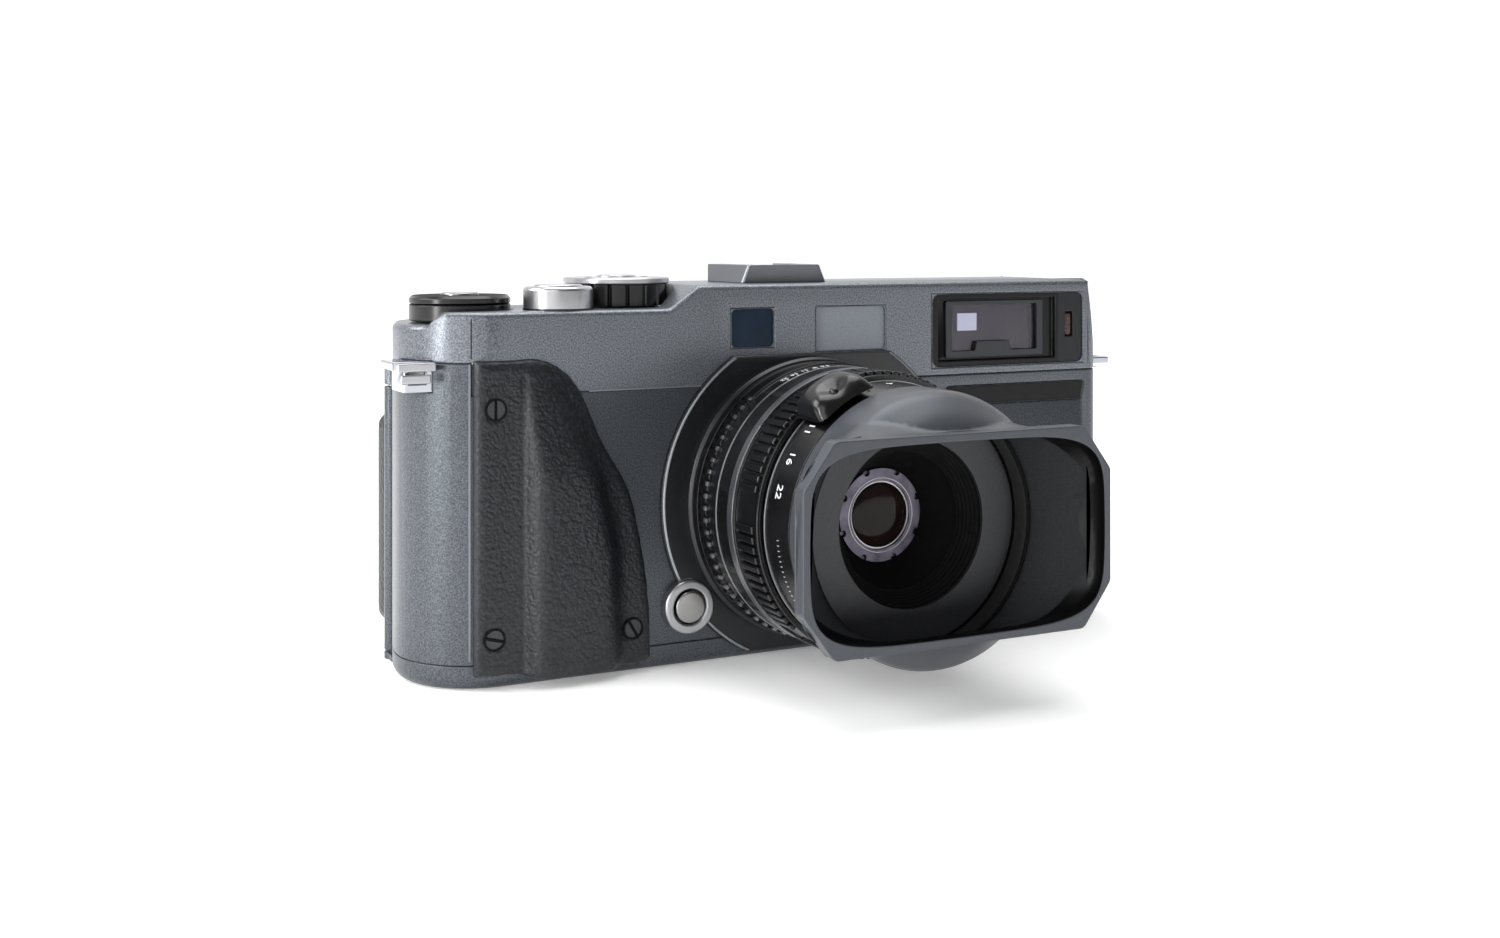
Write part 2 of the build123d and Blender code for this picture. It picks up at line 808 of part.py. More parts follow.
with BuildPart() as eyepiece_glass:
    with BuildSketch(rear_plane(rear_y + 1.2)):
        with Locations((eyepiece_x, eyepiece_z)):
            Circle(eyepiece_radius - 3)
    extrude(amount=1.8)
eyepiece_glass.part.label = "eyepiece_glass"
export_step(eyepiece_glass.part, "parts/eyepiece_glass.step")

# Hot shoe: a block with a slot for the foot, open at the back
with BuildPart() as hot_shoe:
    box_between(
        (shoe_x - shoe_width / 2, shoe_front, high_deck),
        (shoe_x + shoe_width / 2, shoe_front + shoe_depth, high_deck + shoe_height),
    )
    fillet(hot_shoe.edges().filter_by(Axis.Z), 0.8)
    box_between(
        (shoe_x - foot_width / 2, shoe_front + 1.2, high_deck + shoe_floor),
        (shoe_x + foot_width / 2, shoe_front + shoe_depth + 1, high_deck + shoe_floor + foot_height),
        Mode.SUBTRACT,
    )
    box_between(
        (shoe_x - shoe_mouth / 2, shoe_front + 1.2, high_deck + shoe_floor),
        (shoe_x + shoe_mouth / 2, shoe_front + shoe_depth + 1, high_deck + shoe_height + 1),
        Mode.SUBTRACT,
    )
hot_shoe.part.label = "hot_shoe"
export_step(hot_shoe.part, "parts/hot_shoe.step")

# Strap lugs: a bracket let into the left end, and a flat eye at the right end
with BuildPart() as strap_lugs:
    box_between((lug_tip, lug_front, lug_high - lug_plate), (lug_root, lug_back, lug_high))
    box_between((left_x - lug_plate, lug_front, lug_low), (lug_root, lug_back, lug_low + lug_arm))
    box_between((left_x - lug_plate, lug_front, lug_low), (left_x - 0.4, lug_back, lug_high))
    box_between((lug_root - lug_plate, lug_front, lug_low), (lug_root, lug_back, lug_high))
    with BuildSketch(Plane.XY.offset(right_lug_low)):
        with Locations((right_x - right_lug_root, right_lug_y)):
            Rectangle(right_lug_root + right_lug_reach, right_lug_length, align=(Align.MIN, Align.CENTER))
        with Locations((right_x + right_lug_reach / 2 + 0.3, right_lug_y)):
            Rectangle(2.2, right_lug_length - 3, mode=Mode.SUBTRACT)
    extrude(amount=lug_plate)
    fillet(strap_lugs.edges().filter_by(Axis.Z).sort_by(Axis.X)[-2:], 1.2)
strap_lugs.part.label = "strap_lugs"
export_step(strap_lugs.part, "parts/strap_lugs.step")

# Tripod bush: a flanged steel bush in the base
with BuildPart() as tripod_bush:
    post(0, 0, tripod_bush_radius, 0, tripod_depth + 2)
    post(0, 0, tripod_bush_radius + 3, wall - 0.2, wall + 1.2)
    post(0, 0, tripod_bore, 0, tripod_depth, Mode.SUBTRACT)
tripod_bush.part.label = "tripod_bush"
export_step(tripod_bush.part, "parts/tripod_bush.step")

# Film gate: a plate with the frame aperture and two film rails
with BuildPart() as film_gate:
    box_between(
        (bay_left, gate_front, curtain_low - gate_margin), (bay_right, film_y, curtain_high + gate_margin)
    )
    box_between(
        (lens_x - frame_length / 2, gate_front - 1, lens_z - frame_height / 2),
        (lens_x + frame_length / 2, film_y + 1, lens_z + frame_height / 2),
        Mode.SUBTRACT,
    )
film_gate.part.label = "film_gate"
export_step(film_gate.part, "parts/film_gate.step")

# Light tunnel: a black box from the lens throat to the shutter
with BuildPart() as light_tunnel:
    box_between(
        (bay_left, tunnel_front, lens_z - tunnel_height / 2),
        (bay_right, tunnel_back, lens_z + tunnel_height / 2),
    )
    box_between(
        (bay_left + tunnel_wall, tunnel_front + tunnel_wall, lens_z - tunnel_height / 2 + tunnel_wall),
        (bay_right - tunnel_wall, tunnel_back + 1, lens_z + tunnel_height / 2 - tunnel_wall),
        Mode.SUBTRACT,
    )
    box_between(
        (lens_x - tunnel_mouth / 2, tunnel_front - 1, lens_z - tunnel_height / 2 + tunnel_wall),
        (lens_x + tunnel_mouth / 2, tunnel_front + 2, lens_z + tunnel_height / 2 - tunnel_wall),
        Mode.SUBTRACT,
    )
light_tunnel.part.label = "light_tunnel"
export_step(light_tunnel.part, "parts/light_tunnel.step")

# Two shutter curtains of two leaves each: the first covers the gate, the second waits above it
leaf_left = bay_left + 0.5
leaf_right = bay_right - 0.5
shutter_front = tunnel_back + leaf_thickness
leaf_lows = (
    curtain_low,
    curtain_high - leaf_height,
    curtain_high,
    curtain_high,
)
leaf_names = ("first_curtain_lower", "first_curtain_upper", "second_curtain_lower", "second_curtain_upper")
for layer, (leaf_name, leaf_low) in enumerate(zip(leaf_names, leaf_lows)):
    with BuildPart() as curtain_leaf:
        leaf_front = shutter_front + layer * leaf_pitch
        box_between(
            (leaf_left, leaf_front, leaf_low),
            (leaf_right, leaf_front + leaf_thickness, leaf_low + leaf_height),
        )
    curtain_leaf.part.label = leaf_name
    export_step(curtain_leaf.part, f"parts/{leaf_name}.step")

# Two flaps in the tunnel that swing across the gate's ends for the short frame
for mask_name, pivot_x, side in (
    ("format_mask_left", bay_left + tunnel_wall + mask_inset, 1),
    ("format_mask_right", bay_right - tunnel_wall - mask_inset, -1),
):
    with BuildPart() as format_mask:
        post(pivot_x, mask_pivot_y, 0.6, lens_z - mask_height / 2, lens_z + mask_height / 2)
        box_between(
            (pivot_x - mask_thickness / 2, mask_pivot_y - mask_width, lens_z - mask_height / 2),
            (pivot_x + mask_thickness / 2, mask_pivot_y, lens_z + mask_height / 2),
        )
    format_mask.part.label = mask_name
    export_step(format_mask.part, f"parts/{mask_name}.step")

# Format selector: a small knob on the back of the top cover
with BuildPart() as format_selector:
    with BuildSketch(rear_plane(rear_y + free + selector_height)):
        with Locations((selector_x, eyepiece_z)):
            Circle(selector_radius)
    extrude(amount=selector_height)
    fillet(format_selector.faces().sort_by(Axis.Y)[-1].edges(), 0.5)
    with BuildSketch(rear_plane(rear_y + free)):
        with Locations((selector_x, eyepiece_z)):
            Circle(shaft_radius)
    extrude(amount=wall + 2)
    box_between(
        (selector_x - 0.9, rear_y + free, eyepiece_z - selector_radius - 1.5),
        (selector_x + 0.9, rear_y + free + selector_height - 0.6, eyepiece_z),
    )
format_selector.part.label = "format_selector"
export_step(format_selector.part, "parts/format_selector.step")

# Two battery cells, one above the other, and the cap below them
with BuildPart() as batteries:
    battery_low = battery_cap_thickness + free
    for cell in range(2):
        cell_low = battery_low + cell * battery_length
        post(battery_x, battery_y, battery_radius, cell_low, cell_low + battery_length - 0.8)
        post(battery_x, battery_y, 2.8, cell_low + battery_length - 0.8, cell_low + battery_length)
batteries.part.label = "batteries"
export_step(batteries.part, "parts/batteries.step")

with BuildPart() as battery_cap:
    post(battery_x, battery_y, battery_cap_radius, cap_sink, battery_cap_thickness)
    with BuildSketch(Plane.XY.offset(cap_sink)):
        with Locations((battery_x, battery_y)):
            SlotOverall(9, 1.6)
    extrude(amount=1.2, mode=Mode.SUBTRACT)
battery_cap.part.label = "battery_cap"
export_step(battery_cap.part, "parts/battery_cap.step")

# Take-up spool with the winding motor inside it
with BuildPart() as take_up_spool:
    post(take_up_x, take_up_y, spool_radius, chamber_floor + free, chamber_roof - free)
    post(take_up_x, take_up_y, spool_radius - spool_wall, chamber_floor + 3, chamber_roof, Mode.SUBTRACT)
    post(take_up_x, take_up_y, shaft_radius, bottom_seam + 1, chamber_floor + 1)
    for turn in range(3):
        angle = math.radians(90 + 120 * turn)
        middle_x = take_up_x + spool_radius * math.cos(angle)
        middle_y = take_up_y + spool_radius * math.sin(angle)
        with BuildSketch(Plane.XY.offset(lens_z - 14)):
            with Locations((middle_x, middle_y)):
                Circle(1.4)
        extrude(amount=28, mode=Mode.SUBTRACT)
take_up_spool.part.label = "take_up_spool"
export_step(take_up_spool.part, "parts/take_up_spool.step")

with BuildPart() as motor:
    post(take_up_x, take_up_y, spool_radius - spool_wall - 0.6, chamber_floor + 4, chamber_roof)
    post(take_up_x, take_up_y, take_up_bore, chamber_roof, top_seam)
motor.part.label = "motor"
export_step(motor.part, "parts/motor.step")

# Rewind fork over the cassette
with BuildPart() as rewind_fork:
    post(cassette_x, cassette_y, shaft_radius, chamber_roof - 4, top_seam + 2)
    post(cassette_x, cassette_y, 5.0, chamber_roof - 2.5, chamber_roof - free)
    box_between(
        (cassette_x - 2.8, cassette_y - 0.6, chamber_roof - 5),
        (cassette_x + 2.8, cassette_y + 0.6, chamber_roof - 2),
    )
    post(cassette_x, cassette_y, 6.0, top_seam + free, top_seam + 2)
rewind_fork.part.label = "rewind_fork"
export_step(rewind_fork.part, "parts/rewind_fork.step")

# Back door, hinged at the left end, and its hinge pin
with BuildPart() as back_door:
    with BuildSketch(Plane.XY.offset(door_low)):
        add(plan_outline(rear_y))
        with Locations((hinge_x, door_inner)):
            Rectangle(2 * body_width, 2 * door_thickness, align=(Align.MIN, Align.MIN), mode=Mode.INTERSECT)
    extrude(amount=door_high - door_low)
    post(hinge_x, hinge_y, knuckle_radius, door_low, door_high)
    box_between((hinge_x, door_inner, door_low), (hinge_x + 5, rear_y, door_high))
    post(hinge_x, hinge_y, hinge_pin_radius + running, door_low, door_high, Mode.SUBTRACT)
    # film window and the display window, let into the outside
    box_between(
        (film_window_x, door_inner - 1, film_window_low),
        (film_window_x + film_window_width, rear_y + 1, film_window_low + film_window_height),
        Mode.SUBTRACT,
    )
    box_between(
        (display_x, rear_y - 1.2, display_low),
        (display_x + display_width, rear_y + 1, display_low + display_height),
        Mode.SUBTRACT,
    )
back_door.part.label = "back_door"
export_step(back_door.part, "parts/back_door.step")

with BuildPart() as hinge_pin:
    post(hinge_x, hinge_y, hinge_pin_radius, 0.4, top_seam + hinge_ear - 1)
hinge_pin.part.label = "hinge_pin"
export_step(hinge_pin.part, "parts/hinge_pin.step")

with BuildPart() as door_windows:
    box_between(
        (film_window_x, rear_y - 1.6, film_window_low),
        (film_window_x + film_window_width, rear_y - 0.4, film_window_low + film_window_height),
    )
    box_between(
        (display_x, rear_y - 1.2, display_low),
        (display_x + display_width, rear_y - 0.2, display_low + display_height),
    )
door_windows.part.label = "door_windows"
export_step(door_windows.part, "parts/door_windows.step")

# Rubber thumb rest on the door
with BuildPart() as thumb_rest:
    with BuildSketch(Plane.XY.offset(thumb_low)):
        with BuildLine():
            thumb_end = Polyline(*[(x, rear_y + depth) for x, depth in thumb_end_points])
            thumb_slope = Spline(
                *[(x, rear_y + depth) for x, depth in thumb_slope_points], tangents=((1, 0), (1, -0.25))
            )
            Line(thumb_slope @ 1, thumb_end @ 0)
        make_face()
    extrude(amount=thumb_high - thumb_low)
    end_edges = thumb_rest.faces().filter_by(Axis.Z).edges()
    chamfer(end_edges.filter_by(lambda edge: edge.center().Y > rear_y + 1), thumb_edge)
thumb_rest.part.label = "thumb_rest"
export_step(thumb_rest.part, "parts/thumb_rest.step")

# Pressure plate that holds the film flat, on two studs from the door
with BuildPart() as pressure_plate:
    box_between(
        (bay_left - plate_lap, film_y + 0.35, curtain_low - gate_margin),
        (bay_right + plate_lap, film_y + 1.35, curtain_high + gate_margin),
    )
    for side in (-1, 1):
        with BuildSketch(rear_plane(door_inner)):
            with Locations((lens_x + side * frame_length / 4, lens_z)):
                Circle(3)
        extrude(amount=door_inner - film_y - 1.3)
pressure_plate.part.label = "pressure_plate"
export_step(pressure_plate.part, "parts/pressure_plate.step")

# Door latch: a sliding button in the right end
with BuildPart() as door_latch:
    box_between(
        (right_x - wall - 0.6, latch_y - latch_width / 2, latch_low),
        (right_x + free, latch_y + latch_width / 2, latch_low + latch_length),
    )
    box_between(
        (right_x + free, latch_y - latch_width / 2 - latch_button, latch_low - 1),
        (
            right_x + free + latch_button,
            latch_y + latch_width / 2 + latch_button,
            latch_low + latch_length + 1,
        ),
    )
    fillet(door_latch.edges().filter_by(Axis.X).sort_by(Axis.X)[-4:], 1.0)
door_latch.part.label = "door_latch"
export_step(door_latch.part, "parts/door_latch.step")

# Shutter release in its silver collar
with BuildPart() as release_collar:
    post(release_x, release_y, release_collar_radius, low_deck, release_collar_top)
    fillet(release_collar.faces().sort_by(Axis.Z)[-1].edges(), 0.9)
    post(release_x, release_y, release_radius + free, low_deck + collar_floor, high_deck + 2, Mode.SUBTRACT)
    post(release_x, release_y, shaft_radius + running, low_deck, low_deck + collar_floor, Mode.SUBTRACT)
release_collar.part.label = "release_collar"
export_step(release_collar.part, "parts/release_collar.step")

with BuildPart() as shutter_button:
    button_low = low_deck + collar_floor + release_travel + free
    post(release_x, release_y, release_radius, button_low, release_collar_top + 0.4)
    fillet(shutter_button.faces().sort_by(Axis.Z)[-1].edges(), 0.5)
    post(release_x, release_y, shaft_radius, shaft_foot, low_deck + 4)
shutter_button.part.label = "shutter_button"
export_step(shutter_button.part, "parts/shutter_button.step")

# Mode dial in the corner well, with its centre button
with BuildPart() as mode_dial:
    post(mode_x, 0, mode_radius, dial_ledge + free, mode_top)
    fillet(mode_dial.faces().sort_by(Axis.Z)[-1].edges(), 0.8)
    post(mode_x, 0, lock_radius + free, mode_top - 2.2, mode_top + 1, Mode.SUBTRACT)
    post(mode_x, 0, shaft_radius, shaft_foot, dial_ledge + 1)
mode_dial.part.label = "mode_dial"
export_step(mode_dial.part, "parts/mode_dial.step")

with BuildPart() as mode_lock_button:
    post(mode_x, 0, lock_radius, mode_top - 2.2 + lock_travel + 0.1, mode_top + 0.5)
    fillet(mode_lock_button.faces().sort_by(Axis.Z)[-1].edges(), 0.35)
mode_lock_button.part.label = "mode_lock_button"
export_step(mode_lock_button.part, "parts/mode_lock_button.step")

# Fluted exposure compensation ring with the shutter speed dial on top
with BuildPart() as compensation_ring:
    with BuildSketch(Plane.XY.offset(low_deck + free)):
        with Locations((speed_x, 0)):
            Circle(comp_radius)
            with PolarLocations(comp_radius, flute_count):
                Rectangle(0.7, 0.9, mode=Mode.SUBTRACT)
    extrude(amount=comp_top - low_deck - free)
    post(speed_x, 0, shaft_radius + running, low_deck, high_deck + 1, Mode.SUBTRACT)
compensation_ring.part.label = "compensation_ring"
export_step(compensation_ring.part, "parts/compensation_ring.step")

with BuildPart() as speed_dial:
    post(speed_x, 0, speed_radius, comp_top + free, speed_top)
    fillet(speed_dial.faces().sort_by(Axis.Z)[-1].edges(), 0.3)
    post(speed_x, 0, 3.6, speed_top - 0.2, speed_top + 0.5)
    post(speed_x, 0, shaft_radius, shaft_foot, comp_top + free)
speed_dial.part.label = "speed_dial"
export_step(speed_dial.part, "parts/speed_dial.step")

# Lens flange with its bayonet tube and three claws
with BuildPart() as lens_mount:
    ring(tooth_ring_radius, barrel_bore, flange_stand_off, lens_flange_front)
    ring(barrel_bore, throat_radius - 2.2, flange_stand_off, lens_flange_front)
    ring(throat_radius - free, throat_radius - 2.2, 0.6, flange_stand_off)
lens_mount.part.label = "lens_mount"
export_step(lens_mount.part, "parts/lens_mount.step")

# Fixed barrel: scalloped ring, depth scale and the sleeve under the focus ring
with BuildPart() as lens_barrel:
    with BuildSketch(lens_plane(lens_flange_front)):
        Circle(tooth_ring_radius)
        with PolarLocations(
            tooth_ring_radius + 0.2, tooth_count, start_angle=scale_end, angular_range=360 - scale_arc
        ):
            Circle(tooth_radius, mode=Mode.SUBTRACT)
    extrude(amount=tooth_ring_front - lens_flange_front)
    ring(barrel_radius, 0, tooth_ring_front, barrel_front)
    chamfer(lens_barrel.faces().sort_by(Axis.Y)[0].edges(), 0.5)
    ring(focus_ring_inner - free, 0, barrel_front, focus_ring_front - 1)
    ring(barrel_bore, 0, lens_flange_front, focus_ring_front, Mode.SUBTRACT)
lens_barrel.part.label = "lens_barrel"
export_step(lens_barrel.part, "parts/lens_barrel.step")

# Ribbed focus ring with its finger tab
with BuildPart() as focus_ring:
    with BuildSketch(lens_plane(barrel_front + free)):
        Circle(focus_ring_radius)
        for group in range(focus_rib_groups):
            group_start = focus_rib_start + 360 / focus_rib_groups * group
            with PolarLocations(
                focus_ring_radius, focus_rib_count, start_angle=group_start, angular_range=focus_rib_arc
            ):
                Rectangle(0.7, 0.8, mode=Mode.SUBTRACT)
        Circle(focus_ring_inner, mode=Mode.SUBTRACT)
    extrude(amount=focus_ring_front - barrel_front - free)
    with BuildSketch(lens_plane(focus_ring_front - 3)):
        with BuildLine():
            tab_outer = CenterArc((0, 0), tab_radius, tab_start, tab_end - tab_start)
            tab_inner = CenterArc((0, 0), aperture_radius + free, tab_start, tab_end - tab_start)
            Line(tab_outer @ 0, tab_inner @ 0)
            Line(tab_outer @ 1, tab_inner @ 1)
        make_face()
    extrude(amount=tab_front - focus_ring_front + 3)
focus_ring.part.label = "focus_ring"
export_step(focus_ring.part, "parts/focus_ring.step")

# Sliding inner barrel: it carries both glasses, the iris, the name ring and the hood
with BuildPart() as lens_core:
    with BuildSketch(Plane(origin=(lens_x, front_y, lens_z), x_dir=(1, 0, 0), z_dir=(0, 0, 1))):
        with BuildLine():
            Polyline(
                (core_radius, -core_rear),
                (core_radius, -focus_ring_front),
                (core_neck, -focus_ring_front),
                (core_neck, -aperture_front - free),
                (rim_radius, -aperture_front - free),
                (rim_radius, -rim_front),
                (filter_radius, -rim_front),
                (filter_radius, -bowl_front),
                (bowl_radius, -bowl_front),
                (cell_radius, -bowl_floor),
                (cell_radius, -web_rear),
                (core_radius - 2.5, -web_rear),
                (core_radius - 2.5, -rear_glass_front),
                (rear_glass_radius, -rear_glass_front),
                (rear_glass_radius, -rear_glass_back),
                (core_radius - 2.5, -rear_glass_back),
                (core_radius - 2.5, -core_rear),
                close=True,
            )
        make_face()
    revolve(axis=Axis((lens_x, front_y, lens_z), (0, 1, 0)))
    for blade in range(blade_count):
        angle = math.radians(360 / blade_count * blade)
        with BuildSketch(lens_plane(blade_rear - 0.3)):
            with Locations((iris_pivot * math.cos(angle), iris_pivot * math.sin(angle))):
                Circle(iris_pin)
        extrude(amount=web_rear - blade_rear + 0.3)
    ring(core_radius - 2.5, iris_pivot - iris_pin - 0.1, web_rear - 0.5, web_rear)
lens_core.part.label = "lens_core"
export_step(lens_core.part, "parts/lens_core.step")

# Iris blades, each in its own layer on its own pin
for blade in range(blade_count):
    turn = 360 / blade_count * blade
    blade_name = f"iris_blade_{blade + 1}"
    with BuildPart() as iris_blade:
        with BuildSketch(lens_plane(blade_rear + blade * blade_pitch)):
            with BuildLine():
                outer_arc = CenterArc((0, 0), blade_outer, turn, blade_sweep)
                inner_arc = CenterArc((0, 0), blade_inner, turn, blade_sweep)
                Line(outer_arc @ 0, inner_arc @ 0)
                Line(outer_arc @ 1, inner_arc @ 1)
            make_face()
            with PolarLocations(iris_pivot, 1, start_angle=turn):
                Circle(iris_pin + 0.8)
            with PolarLocations(iris_pivot, 1, start_angle=turn):
                Circle(iris_pin + running, mode=Mode.SUBTRACT)
        extrude(amount=blade_thickness)
    iris_blade.part.label = blade_name
    export_step(iris_blade.part, f"parts/{blade_name}.step")

# Aperture ring
with BuildPart() as aperture_ring:
    with BuildSketch(Plane(origin=(lens_x, front_y, lens_z), x_dir=(1, 0, 0), z_dir=(0, 0, 1))):
        with BuildLine():
            Polyline(
                (core_neck + free, -aperture_rear),
                (aperture_radius - 0.4, -aperture_rear),
                (aperture_radius, -aperture_rear - 0.4),
                (aperture_front_radius, -aperture_front),
                (core_neck + free, -aperture_front),
                close=True,
            )
        make_face()
    revolve(axis=Axis((lens_x, front_y, lens_z), (0, 1, 0)))
aperture_ring.part.label = "aperture_ring"
export_step(aperture_ring.part, "parts/aperture_ring.step")

# Front cell, a ring with eight key notches round the front glass
with BuildPart() as front_cell:
    ring(cell_radius, front_glass_radius, web_rear, cell_front)
    with BuildSketch(lens_plane(cell_front - 0.8)):
        with PolarLocations(cell_radius - 0.3, 8, start_angle=20):
            Circle(0.6)
    extrude(amount=2, mode=Mode.SUBTRACT)
front_cell.part.label = "front_cell"
export_step(front_cell.part, "parts/front_cell.step")

# Front and rear glass
with BuildPart() as lens_glasses:
    ring(front_glass_radius, 0, web_rear + 0.4, cell_front - 0.8)
    ring(rear_glass_radius, 0, rear_glass_back, rear_glass_front)
lens_glasses.part.label = "lens_glasses"
export_step(lens_glasses.part, "parts/lens_glasses.step")

# Bare retaining ring between the bowl and the filter thread
with BuildPart() as name_ring:
    ring(filter_radius - 0.8, bowl_radius, bowl_front, bowl_front + 1.0)
name_ring.part.label = "name_ring"
export_step(name_ring.part, "parts/name_ring.step")


def hood_section(half_width, half_height, exponent, distance):
    """A closed smooth section of the hood: exponent 2 is an ellipse, and more is nearer a rectangle."""
    points = []
    for step in range(hood_points):
        angle = 2 * math.pi * (step + 0.5) / hood_points
        across = math.copysign(abs(math.cos(angle)) ** (2 / exponent), math.cos(angle))
        upward = math.copysign(abs(math.sin(angle)) ** (2 / exponent), math.sin(angle))
        points.append((half_width * across, half_height * upward))
    with BuildSketch(lens_plane(distance)) as section:
        with BuildLine():
            Spline(*points, periodic=True)
        make_face()
    return section.sketch


def hood_octagon(half_width, half_height):
    """The corners of the hood's rim: a rectangle with its four corners cut off."""
    corners = (
        (half_width - hood_corner_x, half_height),
        (half_width, half_height - hood_corner_z),
    )
    right = [corners[1], corners[0]]
    left = [(-x, z) for x, z in corners]
    upper = right + left
    return upper + [(-x, -z) for x, z in upper]


def hood_dome(radius, mode):
    """The round dome above and below the rim, a turned shape that ends in a quarter round."""
    with BuildSketch(Plane(origin=(lens_x, front_y, lens_z), x_dir=(1, 0, 0), z_dir=(0, 0, 1))) as profile:
        with BuildLine():
            Line((0, -hood_collar_rear), (radius, -hood_collar_rear))
            Line((radius, -hood_collar_rear), (radius, -hood_dome_straight))
            Spline(
                (radius, -hood_dome_straight),
                (radius - 1.9, -hood_crest),
                (hood_height / 2 - 1, -hood_dome_front),
                tangents=((0, -1), (-1, -0.25)),
            )
            Line((hood_height / 2 - 1, -hood_dome_front), (0, -hood_dome_front))
            Line((0, -hood_dome_front), (0, -hood_collar_rear))
        make_face()
    revolve(profile.sketch, axis=Axis((lens_x, front_y, lens_z), (0, 1, 0)), mode=mode)


# Lens hood: a round collar and dome that join a flared box with a rectangular rim
with BuildPart() as lens_hood:
    hood_dome(hood_collar_radius, Mode.ADD)
    loft(
        sections=[
            hood_section(hood_flare_radius, hood_flare_radius, 2, hood_flare_start),
            hood_section(hood_width / 2, hood_height / 2, hood_squareness, hood_rim_rear + 1),
        ],
        ruled=True,
    )
    with BuildSketch(lens_plane(hood_rim_rear)) as rim:
        Polygon(*hood_octagon(hood_width / 2, hood_height / 2), align=None)
        fillet(rim.vertices(), hood_corner_round)
    extrude(amount=hood_front - hood_rim_rear)
    mouth_width = hood_width / 2 - hood_wall
    mouth_height = hood_height / 2 - hood_wall
    loft(
        sections=[
            hood_section(hood_flare_radius - hood_wall, hood_flare_radius - hood_wall, 2, rim_front - 0.3),
            hood_section(mouth_width, mouth_height, hood_squareness, hood_rim_rear + 1),
            hood_section(mouth_width, mouth_height, hood_squareness, hood_front + 1),
        ],
        ruled=True,
        mode=Mode.SUBTRACT,
    )
    ring(rim_radius, 0, hood_collar_rear - 1, rim_front, Mode.SUBTRACT)
    ring(hood_collar_radius - hood_wall, 0, rim_front, hood_dome_straight, Mode.SUBTRACT)
lens_hood.part.label = "lens_hood"
export_step(lens_hood.part, "parts/lens_hood.step")
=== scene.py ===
import math

import bmesh
import bpy
from mathutils import Matrix, Vector


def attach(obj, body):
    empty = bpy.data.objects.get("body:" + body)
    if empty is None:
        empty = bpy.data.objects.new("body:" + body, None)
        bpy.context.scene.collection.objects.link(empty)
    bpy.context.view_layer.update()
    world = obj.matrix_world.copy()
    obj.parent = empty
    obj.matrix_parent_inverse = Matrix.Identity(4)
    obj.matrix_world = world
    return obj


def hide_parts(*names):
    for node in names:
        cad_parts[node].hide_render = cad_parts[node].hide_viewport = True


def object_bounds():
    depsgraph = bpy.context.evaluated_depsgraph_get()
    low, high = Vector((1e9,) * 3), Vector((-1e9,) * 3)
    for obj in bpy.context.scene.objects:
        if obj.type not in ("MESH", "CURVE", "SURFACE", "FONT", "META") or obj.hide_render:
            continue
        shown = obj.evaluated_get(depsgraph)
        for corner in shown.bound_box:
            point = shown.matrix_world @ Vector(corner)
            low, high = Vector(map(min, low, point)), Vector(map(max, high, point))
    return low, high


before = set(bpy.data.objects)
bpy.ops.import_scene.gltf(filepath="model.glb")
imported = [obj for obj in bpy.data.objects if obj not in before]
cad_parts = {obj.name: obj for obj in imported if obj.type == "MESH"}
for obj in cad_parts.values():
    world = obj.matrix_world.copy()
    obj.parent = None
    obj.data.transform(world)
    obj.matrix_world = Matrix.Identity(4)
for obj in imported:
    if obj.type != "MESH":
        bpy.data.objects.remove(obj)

cad_low, cad_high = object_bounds()

# Main casting. A die-cast aluminium frame in two-coat metallic grey enamel, matt black inside, that
# carries every other piece. Its enamel is drawn darker than the cover's, as painted shade. Its edges
# are only softened, because the enamel is thin.
mm = 0.001
front_y = -18.0
# the painted chamber: the box it fills, and the round corners of its left end, in front and behind
chamber_low, chamber_high = (-81, -17.5, 5.2), (80.9, 14.6, 64)
front_corner, front_reach = Vector((-66.0, -1.0)), 16.6
rear_corner, rear_reach = Vector((-57.0, -1.0)), 25.6


def linear(code):
    """The linear colour of an sRGB hex colour."""
    channels = [int(code[place : place + 2], 16) / 255 for place in (1, 3, 5)]
    return [c / 12.92 if c <= 0.04045 else ((c + 0.055) / 1.055) ** 2.4 for c in channels] + [1.0]


def add_node(tree, kind, inputs=None, **settings):
    """A node with its settings. An input that is a socket is linked, and any other value is set."""
    node = tree.nodes.new(kind)
    for name, value in settings.items():
        setattr(node, name, value)
    for name, value in (inputs or {}).items():
        if isinstance(value, bpy.types.NodeSocket):
            tree.links.new(value, node.inputs[name])
        else:
            node.inputs[name].default_value = value
    return node


def start_finish(name, colour, **inputs):
    """A material with its shader, its node tree and its place coordinates."""
    material = bpy.data.materials.new(name)
    material.use_nodes = True
    tree = material.node_tree
    shader = tree.nodes["Principled BSDF"]
    shader.inputs["Base Color"].default_value = linear(colour)
    for socket, value in inputs.items():
        shader.inputs[socket.replace("_", " ")].default_value = value
    place = add_node(tree, "ShaderNodeTexCoord").outputs["Object"]
    return material, tree, shader, place


def noise(tree, place, grain, detail=2.0):
    """A noise pattern with a grain in millimetres."""
    texture = add_node(
        tree, "ShaderNodeTexNoise", {"Vector": place, "Scale": 1 / (grain * mm), "Detail": detail}
    )
    return texture.outputs["Fac"]


def roughen(tree, shader, pattern, low, high):
    """A roughness that follows a pattern between two values."""
    spread = add_node(tree, "ShaderNodeMapRange", {"Value": pattern, "To Min": low, "To Max": high})
    tree.links.new(spread.outputs["Result"], shader.inputs["Roughness"])


def blend(tree, pattern, first, second):
    """A colour that follows a pattern between two colours, each of them set or a socket."""
    mix = add_node(tree, "ShaderNodeMix", {"Factor": pattern, "A": first, "B": second}, data_type="RGBA")
    return mix.outputs["Result"]


def shade(tree, shader, pattern, first, second):
    """A base colour that follows a pattern between two sRGB hex colours."""
    tree.links.new(blend(tree, pattern, linear(first), linear(second)), shader.inputs["Base Color"])


